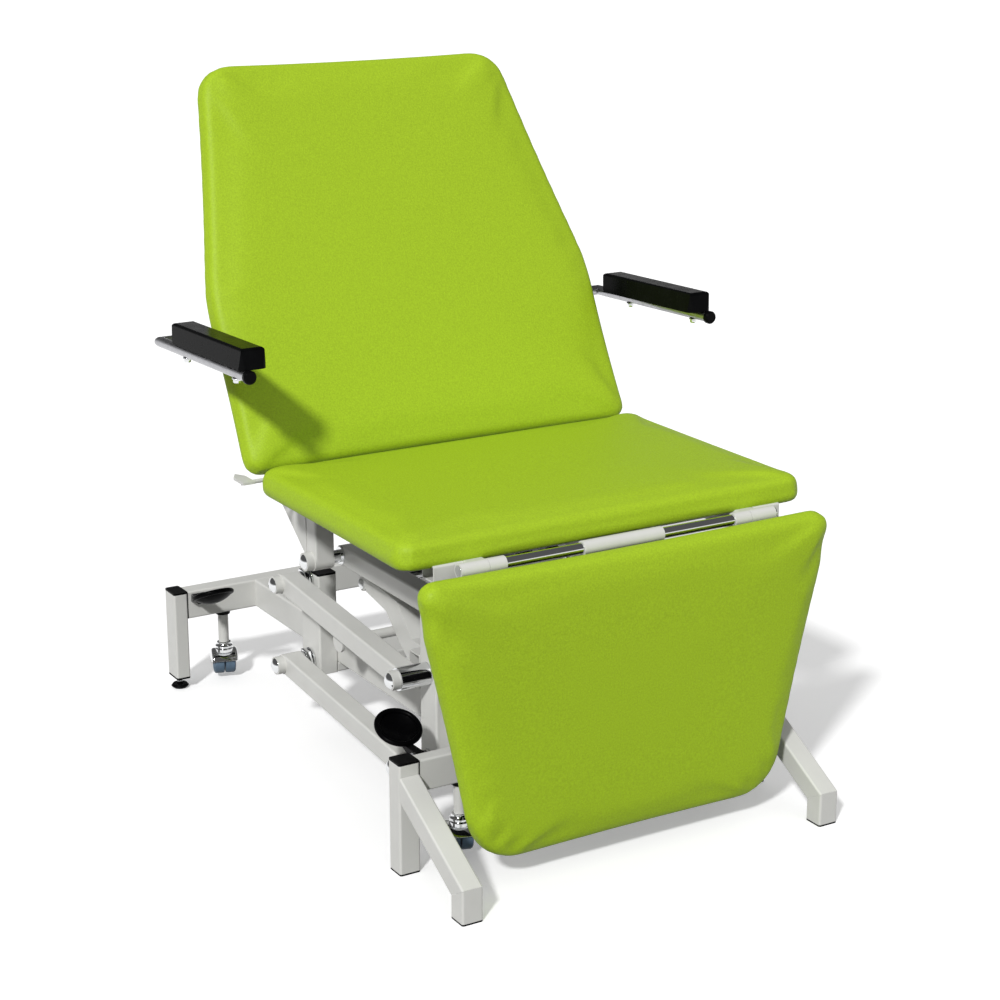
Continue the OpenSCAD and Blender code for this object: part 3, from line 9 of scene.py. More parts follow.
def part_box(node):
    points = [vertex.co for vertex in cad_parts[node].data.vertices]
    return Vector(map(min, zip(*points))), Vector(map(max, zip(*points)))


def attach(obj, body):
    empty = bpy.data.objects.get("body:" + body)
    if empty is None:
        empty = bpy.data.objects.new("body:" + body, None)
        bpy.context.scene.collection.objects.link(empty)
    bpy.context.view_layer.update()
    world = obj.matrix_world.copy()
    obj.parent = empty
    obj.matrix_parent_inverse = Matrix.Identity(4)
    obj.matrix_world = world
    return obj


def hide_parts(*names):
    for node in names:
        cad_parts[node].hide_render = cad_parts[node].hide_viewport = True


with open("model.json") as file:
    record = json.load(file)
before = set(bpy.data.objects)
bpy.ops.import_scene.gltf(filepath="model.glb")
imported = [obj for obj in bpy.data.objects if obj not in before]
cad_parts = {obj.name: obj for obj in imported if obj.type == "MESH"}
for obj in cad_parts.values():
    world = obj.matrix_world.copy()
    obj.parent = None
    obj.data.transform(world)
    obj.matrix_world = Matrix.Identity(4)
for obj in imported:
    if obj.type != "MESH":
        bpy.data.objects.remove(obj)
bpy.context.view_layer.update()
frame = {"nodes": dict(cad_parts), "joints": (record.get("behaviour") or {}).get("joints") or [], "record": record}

# Units: the frame is in metres
MM = 0.001
NODES = frame["nodes"]
JOINTS = {joint["name"]: joint for joint in frame["joints"]}


# Small tools

def select_nothing():
    if bpy.context.object and bpy.context.object.mode != "OBJECT":
        bpy.ops.object.mode_set(mode="OBJECT")
    bpy.ops.object.select_all(action="DESELECT")


def select_only(piece):
    select_nothing()
    piece.select_set(True)
    bpy.context.view_layer.objects.active = piece


def apply_modifier(piece, kind, name, **settings):
    """Adds a modifier with its settings and applies it at once"""
    modifier = piece.modifiers.new(name, kind)
    for key, value in settings.items():
        setattr(modifier, key, value)
    select_only(piece)
    bpy.ops.object.modifier_apply(modifier=modifier.name)


def points_of(piece):
    places = np.zeros(len(piece.data.vertices) * 3)
    piece.data.vertices.foreach_get("co", places)
    return places.reshape(-1, 3)


def move_points(piece, places):
    piece.data.vertices.foreach_set("co", np.asarray(places, float).ravel())
    piece.data.update()


def copy_of_node(node, name):
    """A free copy of a solid of the frame, with its loose triangles joined"""
    piece = bpy.data.objects.new(name, NODES[node].data.copy())
    bpy.context.scene.collection.objects.link(piece)
    select_only(piece)
    bpy.ops.object.mode_set(mode="EDIT")
    bpy.ops.mesh.select_all(action="SELECT")
    bpy.ops.mesh.remove_doubles(threshold=0.05 * MM)
    bpy.ops.mesh.normals_make_consistent(inside=False)
    bpy.ops.object.mode_set(mode="OBJECT")
    return piece


# Finishes

def new_finish(name, colour, roughness, metallic=0.0, **sockets):
    """A surface whose uniform values sit on the shader itself"""
    finish = bpy.data.materials.new(name)
    finish.use_nodes = True
    shader = finish.node_tree.nodes["Principled BSDF"]
    shader.inputs["Base Color"].default_value = (*colour, 1)
    shader.inputs["Roughness"].default_value = roughness
    shader.inputs["Metallic"].default_value = metallic
    for socket, value in sockets.items():
        shader.inputs[socket.replace("_", " ")].default_value = value
    return finish


def add(finish, kind, inputs=None, **settings):
    """A node of a finish, with its settings and what its sockets take"""
    node = finish.node_tree.nodes.new(kind)
    for key, value in settings.items():
        setattr(node, key, value)
    for key, value in (inputs or {}).items():
        if isinstance(value, bpy.types.NodeSocket):
            finish.node_tree.links.new(value, node.inputs[key])
        else:
            node.inputs[key].default_value = value
    return node


def place_of(finish, stretch=(1, 1, 1)):
    """Object coordinates, stretched along the axes"""
    coordinates = add(finish, "ShaderNodeTexCoord").outputs["Object"]
    return add(finish, "ShaderNodeMapping", {"Vector": coordinates, "Scale": stretch}).outputs["Vector"]


def noise(finish, place, size, detail=2.0, roughness=0.5):
    """Cloudy noise whose patches are about size metres wide"""
    inputs = {"Vector": place, "Scale": 1 / size, "Detail": detail, "Roughness": roughness}
    return add(finish, "ShaderNodeTexNoise", inputs).outputs["Fac"]


def cells(finish, place, size):
    """Pebbled grain whose pebbles are about size metres wide"""
    inputs = {"Vector": place, "Scale": 1 / size, "Smoothness": 0.6}
    return add(finish, "ShaderNodeTexVoronoi", inputs, feature="SMOOTH_F1").outputs["Distance"]


def between(finish, value, low, high, to_low, to_high):
    """A value carried from one range to another"""
    inputs = {"Value": value, "From Min": low, "From Max": high, "To Min": to_low, "To Max": to_high}
    return add(finish, "ShaderNodeMapRange", inputs).outputs["Result"]


def tint(finish, value, dark, light):
    """A colour between two others, by a value from 0 to 1"""
    inputs = {"Factor": value}
    node = add(finish, "ShaderNodeMix", inputs, data_type="RGBA")
    node.inputs[6].default_value = (*dark, 1)
    node.inputs[7].default_value = (*light, 1)
    return node.outputs[2]


def relief(finish, height, depth, normal=None, strength=1.0):
    inputs = {"Height": height, "Distance": depth, "Strength": strength}
    if normal:
        inputs["Normal"] = normal
    return add(finish, "ShaderNodeBump", inputs).outputs["Normal"]


def eased_edges(finish, radius):
    return add(finish, "ShaderNodeBevel", {"Radius": radius}, samples=6).outputs["Normal"]


def give(finish, **sockets):
    """Links node outputs to sockets of the shader"""
    shader = finish.node_tree.nodes["Principled BSDF"]
    for socket, output in sockets.items():
        finish.node_tree.links.new(output, shader.inputs[socket.replace("_", " ")])
    return finish


def shade(colour, factor):
    return tuple(min(1.0, part * factor) for part in colour)


def powder_coat(name, colour):
    """Satin powder coat: orange-peel relief, faint clouding and rounded arrises"""
    finish = new_finish(name, colour, 0.36, Specular_IOR_Level=0.5)
    place = place_of(finish)
    clouds = noise(finish, place, 90 * MM, 4.0)
    peel = noise(finish, place, 1.1 * MM, 2.0)
    speck = noise(finish, place, 0.35 * MM, 1.0)
    ground = eased_edges(finish, 0.8 * MM)
    normal = relief(finish, speck, 0.010 * MM, relief(finish, peel, 0.035 * MM, ground))
    cloud_share = between(finish, clouds, 0.3, 0.7, 0, 1)
    colour_out = tint(finish, cloud_share, shade(colour, 0.965), shade(colour, 1.03))
    rough = between(finish, noise(finish, place, 30 * MM, 3.0), 0.3, 0.7, 0.30, 0.42)
    return give(finish, Base_Color=colour_out, Roughness=rough, Normal=normal)


def vinyl(name, colour):
    """Coated upholstery fabric: pebbled grain with fine mottling"""
    finish = new_finish(name, colour, 0.54, Specular_IOR_Level=0.28)
    place = place_of(finish)
    pebbles = cells(finish, place, 1.8 * MM)
    creases = noise(finish, place, 0.7 * MM, 3.0, 0.6)
    dimples = noise(finish, place, 3.4 * MM, 2.5, 0.55)
    mottle = noise(finish, place, 3.0 * MM, 3.0, 0.65)
    mottle_share = between(finish, mottle, 0.32, 0.68, 0, 1)
    colour_out = tint(finish, mottle_share, shade(colour, 0.87), shade(colour, 1.11))
    normal = relief(finish, dimples, 0.55 * MM, strength=0.7)
    normal = relief(finish, creases, 0.08 * MM, normal)
    normal = relief(finish, pebbles, 0.26 * MM, normal, 0.8)
    rough = between(finish, pebbles, 0.0, 0.8, 0.64, 0.48)
    return give(finish, Base_Color=colour_out, Roughness=rough, Normal=normal)


def bright_metal(name, colour, roughness, scratch=1.0):
    """Plated or ground metal with fine hairlines and faint smears"""
    finish = new_finish(name, colour, roughness, 1.0)
    place = place_of(finish)
    hairs = noise(finish, place_of(finish, (1, 12, 12)), 0.5 * MM, 2.0)
    smears = noise(finish, place, 14 * MM, 4.0)
    ground = eased_edges(finish, 0.5 * MM)
    normal = relief(finish, hairs, 0.002 * MM * scratch, ground)
    rough = between(finish, smears, 0.3, 0.75, roughness * 0.7, roughness * 1.5)
    colour_out = tint(finish, smears, shade(colour, 0.95), colour)
    return give(finish, Base_Color=colour_out, Roughness=rough, Normal=normal)


def moulded(name, colour, roughness, grain=0.6, depth=0.03, shine=0.25):
    """Moulded plastic or rubber with a spark-eroded grain and worn, lighter high spots"""
    finish = new_finish(name, colour, roughness, Specular_IOR_Level=shine)
    place = place_of(finish)
    grains = noise(finish, place, grain * MM, 2.0, 0.6)
    wear = noise(finish, place, 22 * MM, 5.0, 0.6)
    ground = eased_edges(finish, 0.7 * MM)
    normal = relief(finish, grains, depth * MM, ground)
    rough = between(finish, wear, 0.3, 0.7, roughness * 0.8, roughness * 1.25)
    worn = shade(colour, 1.6)
    colour_out = tint(finish, between(finish, wear, 0.45, 0.8, 0, 1), colour, worn)
    return give(finish, Base_Color=colour_out, Roughness=rough, Normal=normal)


def cloth_black_as_painted_shade(name):
    """Black dust cloth stapled over the boards, whose black is also painted shade for the dark underside of the
    pads: matted fibres with faint lighter flecks
    """
    # The near-black is the cloth's own colour and also painted shade under the pads
    colour = (0.010, 0.010, 0.011)
    finish = new_finish(name, colour, 0.85, Specular_IOR_Level=0.2)
    place = place_of(finish)
    fibres = noise(finish, place_of(finish, (1, 0.3, 1)), 1.4 * MM, 5.0, 0.7)
    felt = noise(finish, place, 9 * MM, 4.0, 0.6)
    both = add(finish, "ShaderNodeMath", {0: fibres, 1: felt}, operation="MULTIPLY").outputs[0]
    colour_out = tint(finish, between(finish, both, 0.12, 0.42, 0, 1), colour, shade(colour, 2.6))
    normal = relief(finish, fibres, 0.15 * MM)
    return give(finish, Base_Color=colour_out, Normal=normal)


LIME = (0.365, 0.540, 0.016)
PAINT_GREY = (0.66, 0.66, 0.63)

FINISHES = {
    "frame_paint": powder_coat("light_grey_powder_coat", PAINT_GREY),
    "upholstery": vinyl("lime_vinyl", LIME),
    # The boards' black cloth also stands in for the shade under the pads (painted shade)
    "board": cloth_black_as_painted_shade("dust_cloth_black_as_painted_shade"),
    "chrome": bright_metal("polished_chrome", (0.78, 0.79, 0.80), 0.07),
    "steel": bright_metal("dark_plated_steel", (0.18, 0.18, 0.19), 0.28, 2.0),
    "black_plastic": moulded("black_cap_plastic", (0.0030, 0.0030, 0.0033), 0.32, shine=0.04),
    "pedal_black": moulded("glossy_pedal_black", (0.0014, 0.0014, 0.0016), 0.30, 0.5, 0.006, 0.03),
    "arm_foam": moulded("black_moulded_foam", (0.0030, 0.0031, 0.0034), 0.24, 1.0, 0.012, 0.03),
    "tyre": moulded("blue_grey_tyre", (0.098, 0.150, 0.210), 0.42, 0.8, 0.02),
    "strut_black": moulded("strut_gloss_black", (0.008, 0.008, 0.009), 0.2, 0.6, 0.008, 0.4),
}

# The armrest tubes are duller than the chrome pins
SATIN_TUBE = bright_metal("satin_armrest_tube", (0.43, 0.43, 0.45), 0.3, 2.0)

for subpart in frame["record"]["subparts"]:
    solid = NODES[subpart["node"]]
    solid.data.materials.clear()
    solid.data.materials.append(FINISHES[subpart["material_slot"]])
for side in ("left", "right"):
    NODES[side + "_armrest_tube"].data.materials[0] = SATIN_TUBE


# Upholstered pads

SEAT_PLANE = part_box("seat_board")[0].z
BACK_HINGE = Vector(JOINTS["backrest_recline"]["pos_m"])
BACK_ANGLE = math.radians(62)
LEG_HINGE = Vector(JOINTS["legrest_raise"]["pos_m"])
LEG_ANGLE = math.radians(90)
BOARD_T = 12 * MM
VOXEL = 7.5 * MM
START_SHRINK = 1.6 * MM
HELD_ABOVE_BOARD = 4 * MM
STUFFING_STEPS = 20
STUFFING_PRESSURE = 4.0


# How far past its board, and how high above it, the covering of a pad comes down
RIM_WIDTH = 12 * MM
RIM_START = 0.2
RIM_TOP = 30 * MM
RIM_FADE = 26 * MM


def about(anchor, angle):
    """The turn by which a flat pad comes to its place at rest"""
    return Matrix.Translation(anchor) @ Matrix.Rotation(angle, 4, "X") @ Matrix.Translation(-anchor)


def smooth_relief(piece, repeats):
    apply_modifier(piece, "SMOOTH", "ease", factor=0.5, iterations=repeats)


def stuff(piece, held_below, cap):
    """Blows the pad up as cloth over its foam; what lies on the board is held"""
    start = points_of(piece)
    held = [int(i) for i in np.nonzero(start[:, 2] < held_below)[0]]
    piece.vertex_groups.new(name="held").add(held, 1.0, "REPLACE")
    cloth = piece.modifiers.new("stuffing", "CLOTH")
    cloth.settings.quality = 6
    cloth.settings.mass = 0.3
    cloth.settings.tension_stiffness = 60
    cloth.settings.compression_stiffness = 60
    cloth.settings.shear_stiffness = 30
    cloth.settings.bending_stiffness = 12
    cloth.settings.use_pressure = True
    cloth.settings.uniform_pressure_force = STUFFING_PRESSURE
    cloth.settings.effector_weights.gravity = 0
    cloth.settings.vertex_group_mass = "held"
    cloth.collision_settings.use_collision = False
    cloth.point_cache.frame_start = 1
    cloth.point_cache.frame_end = STUFFING_STEPS
    for step in range(1, STUFFING_STEPS + 1):
        bpy.context.scene.frame_set(step)
    select_only(piece)
    bpy.ops.object.modifier_apply(modifier="stuffing")
    bpy.context.scene.frame_set(1)
    moved = points_of(piece) - start
    far = np.linalg.norm(moved, axis=1, keepdims=True)
    move_points(piece, start + moved * np.minimum(1.0, cap / np.maximum(far, 1e-9)))


def draw_out(piece, wider, head, foot):
    """Moves the sides, the head end and the foot end of a flat pad outwards"""
    places = points_of(piece)
    low, high = places.min(0), places.max(0)
    share = (2 * places - low - high) / (high - low)
    places[:, 0] += share[:, 0] * wider
    places[:, 1] += np.where(share[:, 1] > 0, share[:, 1] * head, share[:, 1] * foot)
    move_points(piece, places)


def lower_rim(piece, plane, board_low, board_high, drop):
    """Lets the covering reach a little below its board all round the edge"""
    places = points_of(piece)
    past_side = np.maximum(board_low.x - places[:, 0], places[:, 0] - board_high.x)
    past_end = np.maximum(board_low.y - places[:, 1], places[:, 1] - board_high.y)
    past = np.clip(np.maximum(past_side, past_end) / RIM_WIDTH + RIM_START, 0, 1)
    below = np.clip((plane + RIM_TOP - places[:, 2]) / RIM_FADE, 0, 1)
    places[:, 2] -= drop * past * below
    move_points(piece, places)


def padded_pad(name, body, board_plane, turn, cap, reach=(0, 0, 0), drop=0):
    """The upholstered pad that stands for a plain cushion solid"""
    node = body + "_cushion"
    piece = copy_of_node(node, name)
    piece.data.transform(turn.inverted())
    apply_modifier(piece, "REMESH", "even_mesh", mode="VOXEL", voxel_size=VOXEL)
    apply_modifier(piece, "DISPLACE", "start_small", strength=-START_SHRINK, mid_level=0.0)
    smooth_relief(piece, 6)
    stuff(piece, board_plane + BOARD_T + HELD_ABOVE_BOARD, cap)
    smooth_relief(piece, 4)
    draw_out(piece, *reach)
    if drop:
        lower_rim(piece, board_plane, *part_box(body + "_board"), drop)
    apply_modifier(piece, "SUBSURF", "finer", levels=1, render_levels=1)
    piece.data.transform(turn)
    select_only(piece)
    bpy.ops.object.shade_smooth()
    piece.data.materials.clear()
    piece.data.materials.append(FINISHES["upholstery"])
    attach(piece, body)
    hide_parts(node)


# Reach at the sides, the head end and the foot end, and how far the seat's rim comes down
SEAT_REACH = (6 * MM, 2 * MM, 0)
BACK_REACH = (5 * MM, -7 * MM, 9 * MM)
SEAT_RIM = 8 * MM
SEAT_TURN = Matrix.Identity(4)
BACK_TURN = about(BACK_HINGE, BACK_ANGLE)
LEG_TURN = about(LEG_HINGE, LEG_ANGLE)
LEG_PLANE = LEG_HINGE.z + 13.3 * MM

padded_pad("seat_pad", "seat", SEAT_PLANE, SEAT_TURN, 5 * MM, SEAT_REACH, SEAT_RIM)
padded_pad("backrest_pad", "backrest", SEAT_PLANE, BACK_TURN, 5 * MM, BACK_REACH)
padded_pad("legrest_pad", "legrest", LEG_PLANE, LEG_TURN, 4 * MM)


# Turned and pressed small parts

def turned(name, profile, steps=32, angle=math.tau):
    """Spins an outline of (radius, height) points about Z"""
    mesh = bpy.data.meshes.new(name)
    points = [(radius, 0, height) for radius, height in profile]
    mesh.from_pydata(points, [(i, i + 1) for i in range(len(profile) - 1)], [])
    piece = bpy.data.objects.new(name, mesh)
    bpy.context.scene.collection.objects.link(piece)
    select_only(piece)
    bpy.ops.object.mode_set(mode="EDIT")
    bpy.ops.mesh.select_all(action="SELECT")
    bpy.ops.mesh.spin(steps=steps, angle=angle, center=(0, 0, 0), axis=(0, 0, 1))
    bpy.ops.mesh.select_all(action="SELECT")
    bpy.ops.mesh.remove_doubles(threshold=0.001 * MM)
    bpy.ops.mesh.normals_make_consistent(inside=False)
    bpy.ops.object.mode_set(mode="OBJECT")
    return piece


def hexagon(name, across_flats, depth, chamfer):
    """A hexagon blank along Z from its seat at 0, with eased corners"""
    bpy.ops.mesh.primitive_cylinder_add(vertices=6, radius=across_flats / math.sqrt(3), depth=depth)
    piece = bpy.context.active_object
    piece.name = name
    move_points(piece, points_of(piece) + [0, 0, depth / 2])
    select_only(piece)
    bpy.ops.object.mode_set(mode="EDIT")
    bpy.ops.mesh.select_all(action="SELECT")
    bpy.ops.mesh.bevel(offset=chamfer, segments=2, affect="EDGES")
    bpy.ops.object.mode_set(mode="OBJECT")
    return piece


def merge(pieces, name):
    """Joins small pieces of one fastener or fitting into one object"""
    select_nothing()
    for piece in pieces:
        piece.select_set(True)
    bpy.context.view_layer.objects.active = pieces[0]
    bpy.ops.object.join()
    pieces[0].name = name
    return pieces[0]


def seat_at(piece, place, direction=(0, 0, 1)):
    """Moves the points of a piece drawn along Z to its place and direction"""
    turn = Vector((0, 0, 1)).rotation_difference(Vector(direction)).to_matrix().to_4x4()
    piece.data.transform(Matrix.Translation(Vector(place)) @ turn)


def dress(piece, finish, body, sharp=40):
    """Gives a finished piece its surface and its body"""
    select_only(piece)
    bpy.ops.object.shade_smooth_by_angle(angle=math.radians(sharp))
    piece.data.materials.clear()
    piece.data.materials.append(finish)
    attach(piece, body)


# Nuts and washers on the rear pivot pins, between the posts and the arms

POST_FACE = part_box("rear_posts")[1].x
PIN_R = 18.2 * MM
WASHER_R = 24 * MM
WASHER_T = 4 * MM
WASHER_EDGE = 1 * MM
NUT_FLATS = 42 * MM
NUT_T = 11 * MM
NUT_CHAMFER = 1.6 * MM

for joint, row in (("lift", "upper"), ("lower_arm_swing", "lower")):
    pivot = Vector(JOINTS[joint]["pos_m"])
    for side, sign in (("left", -1), ("right", 1)):
        ring = [(PIN_R, 0), (WASHER_R - WASHER_EDGE, 0), (WASHER_R, WASHER_EDGE)]
        ring += [(WASHER_R, WASHER_T - WASHER_EDGE), (WASHER_R - WASHER_EDGE, WASHER_T)]
        ring += [(PIN_R, WASHER_T), (PIN_R, 0)]
        washer = turned("washer", ring, 48)
        nut = hexagon("nut", NUT_FLATS, NUT_T, NUT_CHAMFER)
        nut.data.transform(Matrix.Translation((0, 0, WASHER_T + 0.5 * MM)))
        stack = merge([washer, nut], row + "_" + side + "_pivot_nut")
        seat_at(stack, (sign * (POST_FACE + 1.5 * MM), pivot.y, pivot.z), (sign, 0, 0))
        dress(stack, FINISHES["chrome"], "base", 25)


# Screws that hold the armrest pads from below

# The armrest tubes fall a little towards the rear
SCREW_Y = (202 * MM, -18 * MM)
TUBE_FALL = 0.0309
TUBE_R = 10 * MM
SCREW_WASHER = [(0, 0), (8 * MM, 0), (8.6 * MM, 0.6 * MM), (8.6 * MM, 2 * MM), (0, 2.4 * MM)]

for side in ("left", "right"):
    low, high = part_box(side + "_armrest_cap")
    end = (low + high) / 2
    screws = []
    for y in SCREW_Y:
        washer = turned("washer", SCREW_WASHER)
        head = hexagon("head", 12 * MM, 7 * MM, 1 * MM)
        head.data.transform(Matrix.Translation((0, 0, 2 * MM)))
        screw = merge([washer, head], "screw")
        tube_z = end.z - (y - end.y) * TUBE_FALL
        seat_at(screw, (end.x, y, tube_z - TUBE_R + 0.5 * MM), (0, TUBE_FALL, -1))
        screws.append(screw)
    dress(merge(screws, side + "_armrest_screws"), FINISHES["chrome"], side + "_armrest", 30)


# Bright threaded studs of the levelling feet

THREADS = 7
THREAD_PITCH = 2.2 * MM
THREAD_BASE = 13 * MM
THREAD_BORE_R = 6.0 * MM
THREAD_ROOT_R = 6.1 * MM
THREAD_CREST_R = 6.7 * MM

for side in ("left", "right"):
    low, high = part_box(side + "_levelling_foot")
    outline = [(THREAD_BORE_R, 0)]
    for turn in range(THREADS):
        outline.append((THREAD_ROOT_R, turn * THREAD_PITCH))
        outline.append((THREAD_CREST_R, (turn + 0.5) * THREAD_PITCH))
    top = THREADS * THREAD_PITCH
    outline += [(THREAD_ROOT_R, top), (THREAD_BORE_R, top)]
    stud = turned(side + "_stud_thread", outline)
    seat_at(stud, ((low.x + high.x) / 2, (low.y + high.y) / 2, THREAD_BASE))
    dress(stud, FINISHES["chrome"], side + "_foot", 30)


# Castor hoods and twin tyres

WHEEL_R = 25 * MM
TYRE_W = 22 * MM
TYRE_GAP = 2.4 * MM
HUB_R = 4 * MM
HOOD_R = 29.5 * MM
HOOD_HALF = 27 * MM
HOOD_SHOULDER = 5 * MM
HOOD_EYE_R = 2 * MM
HOOD_WALL = 1.6 * MM
HOOD_BACK = math.radians(-24)
HOOD_SWEEP = math.radians(186)
NECK_R = 19 * MM
NECK_BORE_R = 11.2 * MM
NECK_BASE = 63 * MM


def tyre_outline(sign):
    """One tyre from its inner face to its hub, as radius and height along the axle"""
    inner = TYRE_GAP / 2
    outer = inner + TYRE_W
    points = [(HUB_R, inner), (WHEEL_R - 2 * MM, inner), (WHEEL_R - 0.5 * MM, inner + 1.2 * MM)]
    points += [(WHEEL_R, inner + 4 * MM), (WHEEL_R, outer - 5 * MM)]
    points += [(WHEEL_R - 1.2 * MM, outer - 2 * MM), (WHEEL_R - 4 * MM, outer - 0.4 * MM)]
    points += [(WHEEL_R - 7 * MM, outer), (WHEEL_R - 9 * MM, outer - 2.5 * MM)]
    points += [(9 * MM, outer - 2.5 * MM), (7.5 * MM, outer - 0.5 * MM)]
    points += [(HUB_R, outer - 0.5 * MM), (HUB_R, inner)]
    return [(radius, sign * height) for radius, height in points]


def castor_tyres(name, axle, along):
    """Both tyres of a castor as one piece on their axle"""
    tyres = merge([turned("tyre", tyre_outline(sign), 48) for sign in (-1, 1)], name)
    seat_at(tyres, axle, along)
    return tyres


def castor_hood(name, axle, along, stem):
    """A pressed hood over the upper half of both tyres, with a stepped neck round the stem"""
    flat_r = HOOD_R - HOOD_SHOULDER
    flat_half = HOOD_HALF - HOOD_SHOULDER
    cheek = [(HOOD_EYE_R, HOOD_HALF), (flat_r, HOOD_HALF)]
    for step in range(1, 5):
        bend = step / 4 * math.pi / 2
        radius = flat_r + HOOD_SHOULDER * math.sin(bend)
        cheek.append((radius, flat_half + HOOD_SHOULDER * math.cos(bend)))
    profile = cheek + [(radius, -height) for radius, height in reversed(cheek)]
    hood = turned("hood", profile, 40, -HOOD_SWEEP)
    apply_modifier(hood, "SOLIDIFY", "wall", thickness=HOOD_WALL, offset=0.0)
    along = Vector(along).normalized()
    up = Vector((0, 0, 1))
    behind = up.cross(along)
    upright = Matrix((behind, up, along)).transposed().to_4x4()
    lean = Matrix.Rotation(HOOD_BACK, 4, "Z")
    hood.data.transform(Matrix.Translation(axle) @ upright @ lean)
    steps = [(NECK_BORE_R, 0), (NECK_R, 0), (NECK_R, 6 * MM), (NECK_R - 1.5 * MM, 7.5 * MM)]
    steps += [(NECK_R - 2 * MM, 9 * MM), (NECK_R - 0.5 * MM, 10.5 * MM)]
    steps += [(NECK_R - 0.5 * MM, 13 * MM), (NECK_R - 2.5 * MM, 15 * MM), (15 * MM, 17 * MM)]
    steps += [(14.5 * MM, 20 * MM), (NECK_BORE_R, 20.5 * MM), (NECK_BORE_R, 0)]
    neck = turned("neck", steps, 48)
    seat_at(neck, (stem.x, stem.y, NECK_BASE))
    return merge([hood, neck], name)


for row in ("front", "rear"):
    for side in ("left", "right"):
        corner = row + "_" + side
        roll = JOINTS[corner + "_roll"]
        axle = Vector(roll["pos_m"])
        stem = Vector(JOINTS[corner + "_swivel"]["pos_m"])
        hood = castor_hood(corner + "_hood_shell", axle, roll["axis"], stem)
        dress(hood, FINISHES["chrome"], corner + "_castor", 35)
        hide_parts(corner + "_castor_hood")
        tyres = castor_tyres(corner + "_tyres", axle, roll["axis"])
        dress(tyres, FINISHES["tyre"], corner + "_wheel_pair", 35)
        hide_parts(corner + "_wheels")


# Floor, light and camera

FLOOR_LIFT = 0.26
FLOOR_BOUNCE = 0.12
FILL_LIGHT = 0.476
SUN_ENERGY = 2.67
SUN_HEADING = Vector((0.607, 0.513, -0.607))
CAMERA_PLACE = (-2.0310, -3.4895, 1.7212)
CAMERA_TILT = math.radians(73.35)
CAMERA_TURN = math.radians(-30.9)
CAMERA_LENS = 79.31


def plain_floor():
    """A white floor that keeps the object's shadow and throws little light back up at the object"""
    bpy.ops.mesh.primitive_plane_add(size=160, location=(0, 0, 0))
    floor = bpy.context.active_object
    floor.name = "floor"
    finish = new_finish("studio_floor", (0.9, 0.9, 0.9), 0.9, Specular_IOR_Level=0.0)
    ray = add(finish, "ShaderNodeLightPath")
    glow = add(finish, "ShaderNodeEmission", {"Color": (1, 1, 1, 1), "Strength": FLOOR_LIFT})
    shader = finish.node_tree.nodes["Principled BSDF"]
    shown = add(finish, "ShaderNodeAddShader", {0: shader.outputs[0], 1: glow.outputs[0]})
    bounce = (FLOOR_BOUNCE, FLOOR_BOUNCE, FLOOR_BOUNCE, 1)
    thrown_back = add(finish, "ShaderNodeBsdfDiffuse", {"Color": bounce})
    inputs = {0: ray.outputs["Is Diffuse Ray"], 1: shown.outputs[0], 2: thrown_back.outputs[0]}
    both = add(finish, "ShaderNodeMixShader", inputs)
    finish.node_tree.links.new(both.outputs[0], finish.node_tree.nodes["Material Output"].inputs["Surface"])
    floor.data.materials.append(finish)


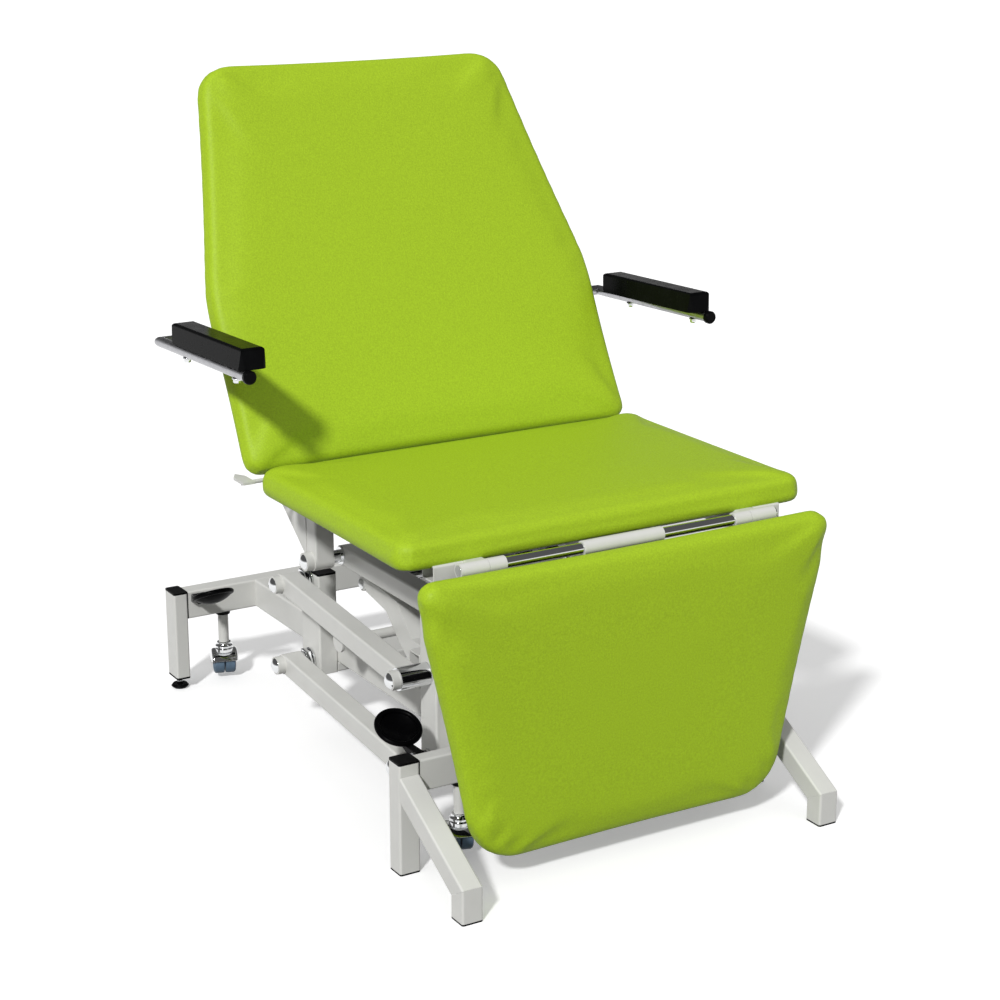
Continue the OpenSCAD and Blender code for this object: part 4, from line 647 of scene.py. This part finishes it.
def studio_world():
    """Even fill light; the camera sees white, and metal sees white low down and dark above"""
    world = bpy.data.worlds.new("studio")
    bpy.context.scene.world = world
    world.use_nodes = True
    tree = world.node_tree
    tree.nodes.clear()
    out = tree.nodes.new("ShaderNodeOutputWorld")
    fill = tree.nodes.new("ShaderNodeBackground")
    fill.inputs["Color"].default_value = (1, 1, 1, 1)
    fill.inputs["Strength"].default_value = FILL_LIGHT
    seen = tree.nodes.new("ShaderNodeBackground")
    seen.inputs["Strength"].default_value = 1.0
    ray = tree.nodes.new("ShaderNodeLightPath")
    direction = tree.nodes.new("ShaderNodeTexCoord")
    height = tree.nodes.new("ShaderNodeSeparateXYZ")
    tree.links.new(direction.outputs["Generated"], height.inputs[0])
    overhead = tree.nodes.new("ShaderNodeMapRange")
    overhead.inputs["From Min"].default_value = 0.02
    overhead.inputs["From Max"].default_value = 0.22
    overhead.inputs["To Min"].default_value = 1.0
    overhead.inputs["To Max"].default_value = 0.10
    tree.links.new(height.outputs["Z"], overhead.inputs["Value"])
    plain = tree.nodes.new("ShaderNodeMix")
    plain.data_type = "FLOAT"
    plain.inputs[2].default_value = 1.0
    tree.links.new(ray.outputs["Is Glossy Ray"], plain.inputs["Factor"])
    tree.links.new(overhead.outputs["Result"], plain.inputs[3])
    tree.links.new(plain.outputs[0], seen.inputs["Color"])
    either = tree.nodes.new("ShaderNodeMath")
    either.operation = "MAXIMUM"
    tree.links.new(ray.outputs["Is Camera Ray"], either.inputs[0])
    tree.links.new(ray.outputs["Is Glossy Ray"], either.inputs[1])
    any_of = tree.nodes.new("ShaderNodeMath")
    any_of.operation = "MAXIMUM"
    tree.links.new(either.outputs[0], any_of.inputs[0])
    tree.links.new(ray.outputs["Is Transmission Ray"], any_of.inputs[1])
    choose = tree.nodes.new("ShaderNodeMixShader")
    tree.links.new(any_of.outputs[0], choose.inputs[0])
    tree.links.new(fill.outputs[0], choose.inputs[1])
    tree.links.new(seen.outputs[0], choose.inputs[2])
    tree.links.new(choose.outputs[0], out.inputs["Surface"])


def key_light():
    """The main lamp stands to the left of and before the couch, fairly low"""
    lamp = bpy.data.lights.new("key", "SUN")
    lamp.energy = SUN_ENERGY
    lamp.angle = math.radians(5)
    light = bpy.data.objects.new("key", lamp)
    bpy.context.scene.collection.objects.link(light)
    light.rotation_euler = SUN_HEADING.to_track_quat("-Z", "Y").to_euler()


def photo_camera():
    """The viewpoint fitted to the photograph"""
    camera = bpy.data.objects.new("camera", bpy.data.cameras.new("camera"))
    bpy.context.scene.collection.objects.link(camera)
    camera.location = CAMERA_PLACE
    camera.rotation_euler = (CAMERA_TILT, 0, CAMERA_TURN)
    camera.data.lens = CAMERA_LENS
    camera.data.sensor_width = 36
    bpy.context.scene.camera = camera


plain_floor()
studio_world()
key_light()
photo_camera()
bpy.context.scene.view_settings.view_transform = "Standard"
